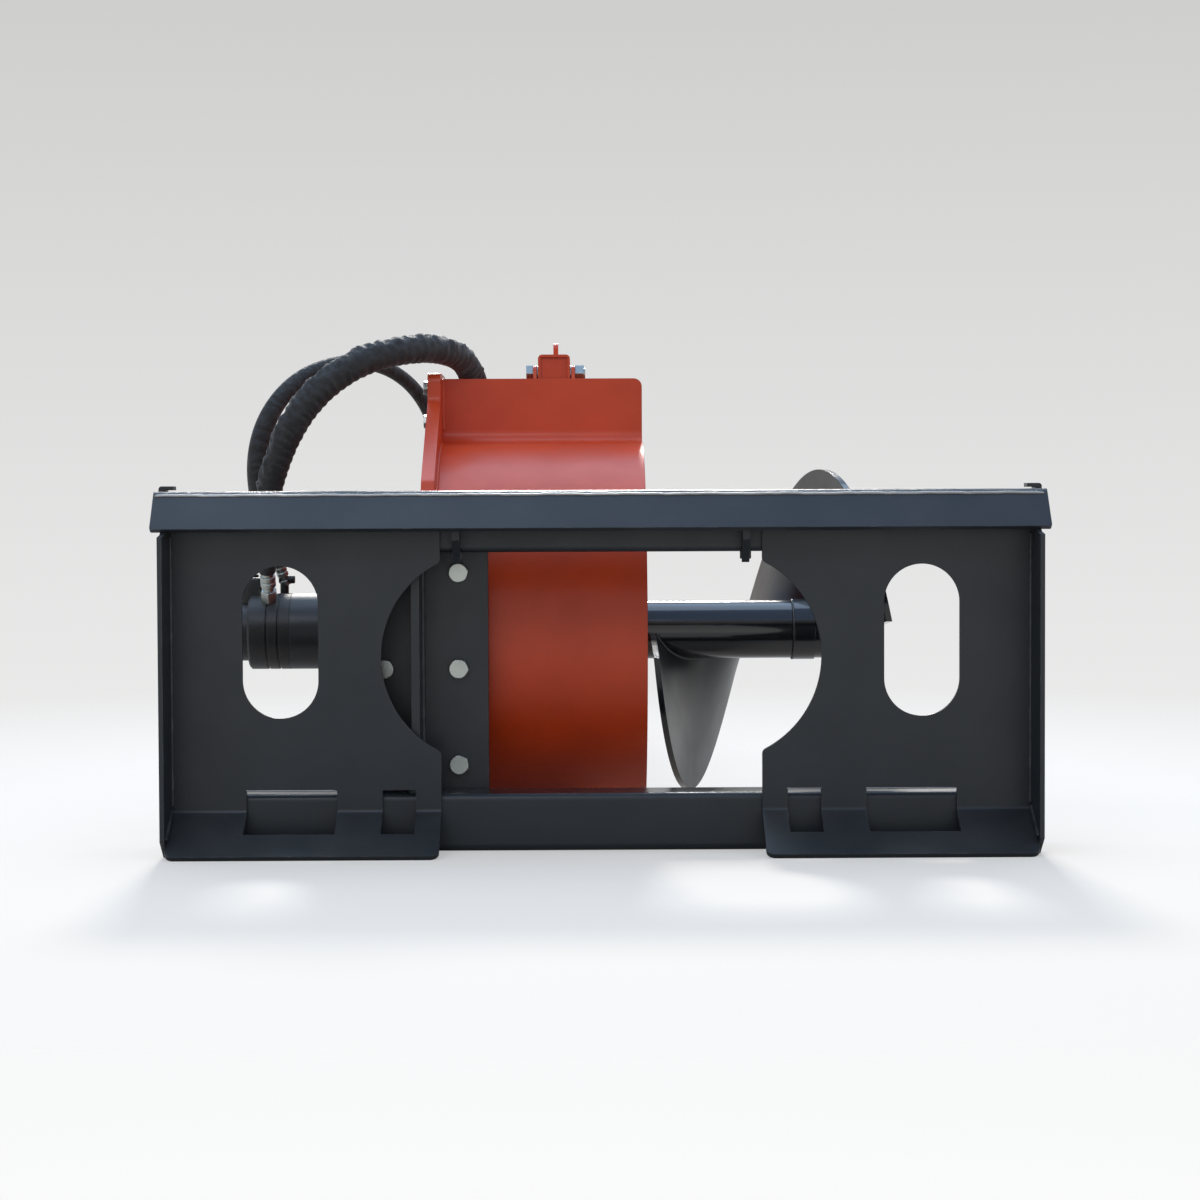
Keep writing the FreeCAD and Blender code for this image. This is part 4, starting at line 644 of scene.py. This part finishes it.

# %% [markdown]
# ## Painted highlights on the edges
# A thin line of pale bare steel along the lip's fold and along the slots' upper edges is a painted highlight:
# it stands for the bright line of glinting light on these edges. It is made as a bead is, of long, thin drops
# that run into each other. Three sines shift the fold's line up and down by a fraction of a millimetre, so
# that it looks broken and not ruled.

# %% Painted highlights on the edges
DROP_STRETCH, DROP_PITCH = 3.0, 2.7
FOLD_HALF, FOLD_STEPS = 0.568, 120
FOLD_Y, FOLD_Z = -0.0134, 0.4625
ACROSS_FOLD = (0.62, 0.785)
SLOT_EDGE_Y, SLOT_EDGE_Z = -0.0003, 0.0806
fold_line = []
for i in range(FOLD_STEPS + 1):
    wave = 0.00025 * math.sin(1.7 * i) + 0.00035 * math.sin(0.61 * i) + 0.0002 * math.sin(2.9 * i)
    x = FOLD_HALF * (2 * i / FOLD_STEPS - 1)
    fold_line.append((x, FOLD_Y + ACROSS_FOLD[0] * wave, FOLD_Z + ACROSS_FOLD[1] * wave))
# The line of bare steel on the lip's fold is a painted highlight, for the glint along the fold.
glinting = [weld("lip_fold_painted_highlight", fold_line, "frame", "bare_steel", 0.0021, DROP_STRETCH, DROP_PITCH)]
# The slots' upper edges get the same painted highlight, a thin line of bare steel.
for name, start, end in (("left", -0.458, -0.345), ("right", 0.345, 0.458), ("right_narrow", 0.2425, 0.2825)):
    line = [(x, SLOT_EDGE_Y, SLOT_EDGE_Z) for x in (start, end)]
    glinting.append(weld("slot_edge_painted_highlight_" + name, line, "frame", "bare_steel", 0.0012, DROP_STRETCH, DROP_PITCH))
print("glinting", [piece.name for piece in glinting])

# %% [markdown]
# ## Bolt heads
# A forged hex head has a round chamfer on its outer face, so that its corners are cut back in small arcs.
# That is what a hex prism and a chamfered disc have in common, and a Boolean modifier finds it. The head is
# made once and copied to each bolt.

# %% Head and rod
def chamfer(piece, width, segments):
    """Cut back the sharp edges of the active piece."""
    rim = piece.modifiers.new("rim", "BEVEL")
    rim.width = width
    rim.segments = segments
    rim.limit_method = "ANGLE"
    rim.angle_limit = math.radians(60)
    bpy.ops.object.modifier_apply(modifier="rim")


def hex_head(name, across, height):
    corner = across / math.sqrt(3)
    bpy.ops.object.select_all(action="DESELECT")
    bpy.ops.mesh.primitive_cylinder_add(vertices=48, radius=corner, depth=height, location=(0, 0, height / 2))
    disc = bpy.context.object
    chamfer(disc, across * 0.075, 1)
    bpy.ops.mesh.primitive_cylinder_add(vertices=6, radius=corner, depth=height * 2, location=(0, 0, height))
    prism = bpy.context.object
    prism.name = name
    common = prism.modifiers.new("common", "BOOLEAN")
    common.operation = "INTERSECT"
    common.solver = "EXACT"
    common.object = disc
    bpy.ops.object.modifier_apply(modifier="common")
    bpy.data.objects.remove(disc)
    bpy.ops.object.transform_apply(location=True, rotation=True, scale=True)
    return prism


def rod(name, radius, length, rim=0.001, vertices=32):
    middle = (0, 0, length / 2)
    bpy.ops.object.select_all(action="DESELECT")
    bpy.ops.mesh.primitive_cylinder_add(vertices=vertices, radius=radius, depth=length, location=middle)
    piece = bpy.context.object
    piece.name = name
    chamfer(piece, rim, 2)
    bpy.ops.object.transform_apply(location=True, rotation=True, scale=True)
    return piece


big_head = hex_head("big_head", 0.024, 0.0100)
big_nut = hex_head("big_nut", 0.024, 0.0130)
small_head = hex_head("small_head", 0.018, 0.0070)
flange_head = hex_head("flange_head", 0.018, 0.0072)
shank = rod("shank", 0.008, 0.0260)
tip = rod("tip", 0.008, 0.0030, 0.0012)
bolt_parts = (big_head, big_nut, small_head, flange_head, shank, tip)
print("bolt parts", [(part.name, len(part.data.polygons)) for part in bolt_parts])

# %% [markdown]
# ## A bolt at every hole
# The head plate has two columns of three through bolts, and those of the left column show a nut and the
# bolt's tip behind it. Two more hold the guard's side plate, and the bearing housing and the sprocket have
# six each. The heads are turned a little differently from row to row, because nobody tightens bolts to the
# same angle.

# %% Copy and join
SMOOTH_BELOW = 30


def place_copy(template, place, way, spin=0.0):
    """A copy whose own +Z points along way; its mesh is moved, so that the object stays at the origin."""
    copy = template.copy()
    copy.data = template.data.copy()
    bpy.context.scene.collection.objects.link(copy)
    turned_to = Vector(way).to_track_quat("Z", "Y").to_matrix().to_4x4() @ Matrix.Rotation(spin, 4, "Z")
    copy.data.transform(Matrix.Translation(place) @ turned_to)
    return copy


def joined(name, copies, body, slot, *nodes):
    """One piece from many copies, standing for the named nodes, which are hidden; without a body it is left
    unattached.
    """
    bpy.ops.object.select_all(action="DESELECT")
    for copy in copies:
        copy.select_set(True)
    bpy.context.view_layer.objects.active = copies[0]
    bpy.ops.object.join()
    piece = bpy.context.object
    piece.name = name
    bpy.ops.object.shade_smooth_by_angle(angle=math.radians(SMOOTH_BELOW))
    piece.data.materials.clear()
    piece.data.materials.append(materials[slot])
    if body:
        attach(piece, body)
    if nodes:
        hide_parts(*nodes)
    print(name, "faces", len(piece.data.polygons))
    return piece


def discard(*templates):
    for template in templates:
        bpy.data.objects.remove(template)


print("smooth where faces meet at less than", SMOOTH_BELOW, "degrees")

# %% Set the bolts
TO_LOADER, TO_BOOM, TO_LEFT, TO_RIGHT = (0, -1, 0), (0, 1, 0), (-1, 0, 0), (1, 0, 0)
LEFT_COLUMN, RIGHT_COLUMN = -0.286, -0.188
HEAD_SEAT, NUT_SEAT, NUT_TOP = 0.0814, 0.1074, 0.1204
LOW_ROW, ROW_STEP = 0.106, 0.127
SPROCKET_FACE_X = -0.056


def bolt_circle(x, radius, first_angle, way):
    """Six flange heads round the shaft."""
    copies = []
    for i in range(6):
        angle = math.radians(first_angle + 60 * i)
        spot = (x, SHAFT_Y + radius * math.cos(angle), SHAFT_Z + radius * math.sin(angle))
        copies.append(place_copy(flange_head, spot, way, angle))
    return copies


parts = []
for x in (LEFT_COLUMN, RIGHT_COLUMN):
    for row in range(3):
        z = LOW_ROW + ROW_STEP * row
        spin = math.radians(17 * row + 9)
        parts.append(place_copy(big_head, (x, HEAD_SEAT, z), TO_LOADER, spin))
        parts.append(place_copy(shank, (x, HEAD_SEAT, z), TO_BOOM))
        if x == LEFT_COLUMN:
            parts.append(place_copy(big_nut, (x, NUT_SEAT, z), TO_BOOM, spin))
            parts.append(place_copy(tip, (x, NUT_TOP, z), TO_BOOM))
joined("mount_bolts_detailed", parts, "frame", "zinc", "mount_bolts")
parts = [place_copy(small_head, (-0.241, 0.364, z), TO_LEFT, 0.3) for z in (0.616, 0.568)]
joined("guard_bolts_detailed", parts, "frame", "zinc", "guard_bolts")
parts = bolt_circle(HOUSING_X, 0.070, 30, TO_LEFT)
joined("housing_bolts_detailed", parts, "frame", "zinc", "housing_bolts")
parts = bolt_circle(SPROCKET_FACE_X, 0.054, 0, TO_RIGHT)
joined("sprocket_bolts_detailed", parts, "drive", "zinc", "sprocket_bolts")
discard(*bolt_parts)

# %% [markdown]
# ## Hose fittings
# A hose ends in a crimped steel ferrule, a neck and a hex that is screwed into the motor. They are turned
# parts, so each is drawn as a lathe would cut it: a disc, extruded step by step and resized at each step.
# The hex has six corners from the start.

# %% Hose fittings
def turned(name, steps, vertices=32):
    """A solid along +Z from steps of height and radius, in metres."""
    height, radius = steps[0]
    foot = (0, 0, height)
    bpy.ops.object.select_all(action="DESELECT")
    bpy.ops.mesh.primitive_circle_add(vertices=vertices, radius=radius, fill_type="NGON", location=foot)
    piece = bpy.context.object
    piece.name = name
    bpy.ops.object.mode_set(mode="EDIT")
    bpy.ops.mesh.select_all(action="SELECT")
    for next_height, next_radius in steps[1:]:
        bpy.ops.mesh.extrude_region_move(TRANSFORM_OT_translate={"value": (0, 0, next_height - height)})
        grow = next_radius / radius
        bpy.ops.transform.resize(value=(grow, grow, 1), center_override=(0, 0, next_height))
        height, radius = next_height, next_radius
    bpy.ops.mesh.select_all(action="SELECT")
    bpy.ops.mesh.normals_make_consistent(inside=False)
    bpy.ops.object.mode_set(mode="OBJECT")
    bpy.ops.object.transform_apply(location=True, rotation=True, scale=True)
    return piece


def ferrule(name, radius, start, end):
    """Two crimp rings with a groove between them, and the neck after them."""
    third = (end - start) / 3
    round_off = 0.0008
    steps = [(start - 0.006, radius * 0.80), (start, radius * 0.80)]
    for ring in range(2):
        foot = start + third * ring * 1.12
        steps += [(foot, radius * 0.93), (foot + round_off, radius), (foot + third - round_off, radius),
                  (foot + third, radius * 0.93), (foot + third * 1.02, radius * 0.86)]
    steps += [(start + third * 2.2, radius * 0.70), (end, radius * 0.70)]
    return turned(name, steps)


def hex_nut(name, across, start, end):
    corner = across / math.sqrt(3)
    slope = 0.001
    steps = [(start, corner * 0.90), (start + slope, corner), (end - slope, corner), (end, corner * 0.90)]
    return turned(name, steps, 6)


way_a = (Vector(ROUTE_A[0]) - Vector(ROUTE_A[1])).normalized()
way_b = (Vector(ROUTE_B[0]) - Vector(ROUTE_B[1])).normalized()
crimp_a, hex_a = ferrule("ferrule_a", 0.0110, 0.006, 0.030), hex_nut("hex_a", 0.0205, 0.0295, 0.0480)
crimp_b, hex_b = ferrule("ferrule_b", 0.0085, 0.002, 0.022), hex_nut("hex_b", 0.0150, 0.0215, 0.0300)
parts = [place_copy(template, ROUTE_A[0], way_a) for template in (crimp_a, hex_a)]
joined("hose_a_fitting_turned", parts, "frame", "zinc", "hose_a_fitting")
parts = [place_copy(template, ROUTE_B[0], way_b) for template in (crimp_b, hex_b)]
joined("hose_b_fitting_turned", parts, "frame", "zinc", "hose_b_fitting")
discard(crimp_a, hex_a, crimp_b, hex_b)

# %% [markdown]
# ## Elbow and port block
# The thin hose ends in an elbow, whose capped arm looks out beside the thick hose. Next to it the motor has
# a small port block with a plug on top. The block is a cube, resized in edit mode, with its edges rounded
# by a Bevel modifier.

# %% Elbow and port block
BLOCK_PLACE, BLOCK_SIZE = (-0.4945, 0.384, 0.327), (0.028, 0.044, 0.040)
PLUG_PLACE = (-0.4945, 0.384, 0.347)
UP, DOWN = (0, 0, 1), (0, 0, -1)
foot_b = Vector(ROUTE_B[0]) + way_b * 0.022
arm = turned("arm", [(0, 0.0045), (0.0012, 0.0058), (0.0220, 0.0058), (0.0230, 0.0050)])
leg = turned("leg", [(0, 0.0062), (0.0300, 0.0062)])
parts = [place_copy(arm, foot_b + Vector((-0.008, 0, 0)), TO_RIGHT), place_copy(leg, foot_b, DOWN)]
joined("hose_b_elbow", parts, "frame", "motor_black")
plug = turned("plug", [(-0.002, 0.0085), (0.003, 0.0085), (0.004, 0.0078)], 6)
bpy.ops.object.select_all(action="DESELECT")
bpy.ops.mesh.primitive_cube_add(size=1, location=BLOCK_PLACE)
block = bpy.context.object
bpy.ops.object.mode_set(mode="EDIT")
bpy.ops.mesh.select_all(action="SELECT")
bpy.ops.transform.resize(value=BLOCK_SIZE)
bpy.ops.object.mode_set(mode="OBJECT")
chamfer(block, 0.004, 3)
bpy.ops.object.transform_apply(location=True, rotation=True, scale=True)
joined("motor_port_block", [block, place_copy(plug, PLUG_PLACE, UP)], "frame", "motor_black")
discard(arm, leg, plug)

# %% [markdown]
# ## Chain pins
# Each joint of the chain turns on a pin whose ends are riveted over the outer bars. The CAD barrels tell
# where the joints are, so one short rod per joint, a little longer than the chain is wide, shows both
# riveted ends.

# %% Chain pins
JOINTS = 52
PIN_LENGTH = 0.0720


def centres_of(node, count):
    """The middle of each equal solid of a CAD node, from its vertices, which come solid by solid."""
    vertices = frame["nodes"][node].data.vertices
    each = len(vertices) // count
    middles = []
    for i in range(count):
        total = Vector()
        for vertex in vertices[i * each:(i + 1) * each]:
            total += vertex.co
        middles.append(total / each)
    return middles


pin = rod("pin", 0.0075, PIN_LENGTH, 0.0016, 20)
half_pin = Vector((PIN_LENGTH / 2, 0, 0))
parts = [place_copy(pin, middle - half_pin, TO_RIGHT) for middle in centres_of("chain_barrels", JOINTS)]
pins = joined("chain_pins", parts, None, "chain_steel")
discard(pin)

# %% [markdown]
# ## Copies of the chain parts
# The chain lies round the sprocket, which stays on the frame, and round the nose roller, which slides out
# with the boom. Near the sprocket it has to stay, near the nose it has to go along, and in between its
# joints open a little. Here each chain part is copied with its place baked into its mesh, and the CAD part
# is hidden; the chain pins get their place baked too.

# %% Chain between sprocket and nose
CHAIN_NODES = ("chain_outer_links", "chain_inner_links", "chain_barrels", "cutters_left", "cutters_right",
               "cutters_middle")
for node in CHAIN_NODES:
    source = frame["nodes"][node]
    piece = source.copy()
    piece.data = source.data.copy()
    for key in list(piece.keys()):
        del piece[key]
    piece.name = node + "_in_tension"
    piece.parent = None
    piece.matrix_world = source.matrix_world.copy()
    bpy.context.scene.collection.objects.link(piece)
    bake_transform(piece)
    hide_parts(node)
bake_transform(pins)
print("blended", len(CHAIN_NODES) + 1, "chain pieces between frame and boom")

# %% [markdown]
# ## The floor
# The floor is pale and matt and keeps the object's shadow. It fades out at its rim, so that no horizon
# shows. Where the camera looks at it, a little light of its own makes it as white as the photograph's
# ground. That glow is for camera rays only: on other rays it would throw light up under the guard and wash
# out its colour.

# %% Floor
bpy.ops.object.select_all(action="DESELECT")
bpy.ops.mesh.primitive_circle_add(vertices=96, radius=9, fill_type="NGON", location=(0, 0.6, 0))
floor = bpy.context.object
floor.name = "floor"
ground = bpy.data.materials.new("floor")
ground.use_nodes = True
tree = ground.node_tree
shader = tree.nodes["Principled BSDF"]
shader.inputs["Base Color"].default_value = (0.50, 0.475, 0.45, 1)
shader.inputs["Roughness"].default_value = 0.9
shader.inputs["Specular IOR Level"].default_value = 0.1
shader.inputs["Emission Color"].default_value = (0.36, 0.36, 0.36, 1)
camera_ray = tree.nodes.new("ShaderNodeLightPath").outputs["Is Camera Ray"]
tree.links.new(camera_ray, shader.inputs["Emission Strength"])
distance = tree.nodes.new("ShaderNodeVectorMath")
distance.operation = "LENGTH"
tree.links.new(object_place(tree), distance.inputs[0])
tree.links.new(remap(tree, distance.outputs["Value"], 0.9, 2.6, 1.0, 0.0), shader.inputs["Alpha"])
floor.data.materials.append(ground)
print("floor", floor.name)

# %% [markdown]
# ## The backdrop
# The camera sees a plain grey that pales towards the ground. Glossy paint shows this backdrop too, with a
# blue sky higher up, which gives the lip and the tubes their cold sheen. A second, dimmer sky gives the
# soft light that falls on everything else.

# %% Backdrop
world = bpy.data.worlds.new("studio")
bpy.context.scene.world = world
world.use_nodes = True
sky = world.node_tree
sky.nodes.clear()
height = split(sky, sky.nodes.new("ShaderNodeTexCoord").outputs["Generated"])["Z"]
low_grey, high_grey, blue = (0.96, 0.96, 0.96, 1), (0.62, 0.62, 0.615, 1), (0.34, 0.50, 0.80, 1)
seen_colour = mix_colour(sky, remap(sky, height, -0.24, 0.18), low_grey, high_grey)
seen_colour = mix_colour(sky, remap(sky, height, 0.22, 0.75), seen_colour, blue)
lit_colour = mix_colour(sky, remap(sky, height, -0.1, 0.9), (0.66, 0.68, 0.72, 1), (0.70, 0.84, 1.0, 1))
seen_sky = sky.nodes.new("ShaderNodeBackground")
lit_sky = sky.nodes.new("ShaderNodeBackground")
lit_sky.inputs["Strength"].default_value = 0.62
sky.links.new(seen_colour, seen_sky.inputs["Color"])
sky.links.new(lit_colour, lit_sky.inputs["Color"])
ray = sky.nodes.new("ShaderNodeLightPath").outputs
seen = math_node(sky, "MAXIMUM", ray["Is Camera Ray"], ray["Is Glossy Ray"])
seen = math_node(sky, "MAXIMUM", seen, ray["Is Transmission Ray"])
choice = sky.nodes.new("ShaderNodeMixShader")
sky.links.new(seen, choice.inputs[0])
sky.links.new(lit_sky.outputs[0], choice.inputs[1])
sky.links.new(seen_sky.outputs[0], choice.inputs[2])
sky.links.new(choice.outputs[0], sky.nodes.new("ShaderNodeOutputWorld").inputs["Surface"])
print("backdrop", world.name)

# %% [markdown]
# ## The lamps
# The dark steel shows its shape by what it reflects, so the light is broad and soft: a wide panel overhead,
# a weaker one in front and a small one at the right. A low, warm sun stands behind the trencher. It lights
# the roll of the guard and glints along the lip, where the painted highlight of bare steel on the fold makes
# the bright line stronger. Its disc is wide, so that its shadows have soft edges.

# %% Lamps
AIM = (0, 0.3, 0.3)
SUN_WAY = (0.02, -1.0, -0.64)


def lamp(name, kind, power, colour, way):
    """A lamp that shines along way."""
    data = bpy.data.lights.new(name, kind)
    data.energy = power
    data.color = colour
    piece = bpy.data.objects.new(name, data)
    bpy.context.scene.collection.objects.link(piece)
    piece.rotation_euler = Vector(way).to_track_quat("-Z", "Y").to_euler()
    return piece


def panel(name, place, aim, size, power, colour):
    piece = lamp(name, "AREA", power, colour, Vector(aim) - Vector(place))
    piece.data.shape = "RECTANGLE"
    piece.data.size, piece.data.size_y = size
    piece.location = place


panel("overhead", (-0.3, 0.9, 3.4), AIM, (3.2, 2.2), 46, (0.60, 0.78, 1.0))
panel("front", (-1.4, -2.9, 3.1), AIM, (3.0, 0.8), 30, (0.97, 0.98, 1.0))
panel("right", (2.8, -1.0, 1.5), (0.2, 0.3, 0.3), (1.0, 1.8), 9, (1.0, 1.0, 1.0))
sun = lamp("sun_behind", "SUN", 2.4, (1.0, 0.96, 0.90), SUN_WAY)
sun.data.angle = math.radians(9)
bpy.context.scene.view_settings.view_transform = "Standard"

# %% [markdown]
# ## Finish

# %% Finish
bpy.context.view_layer.update()
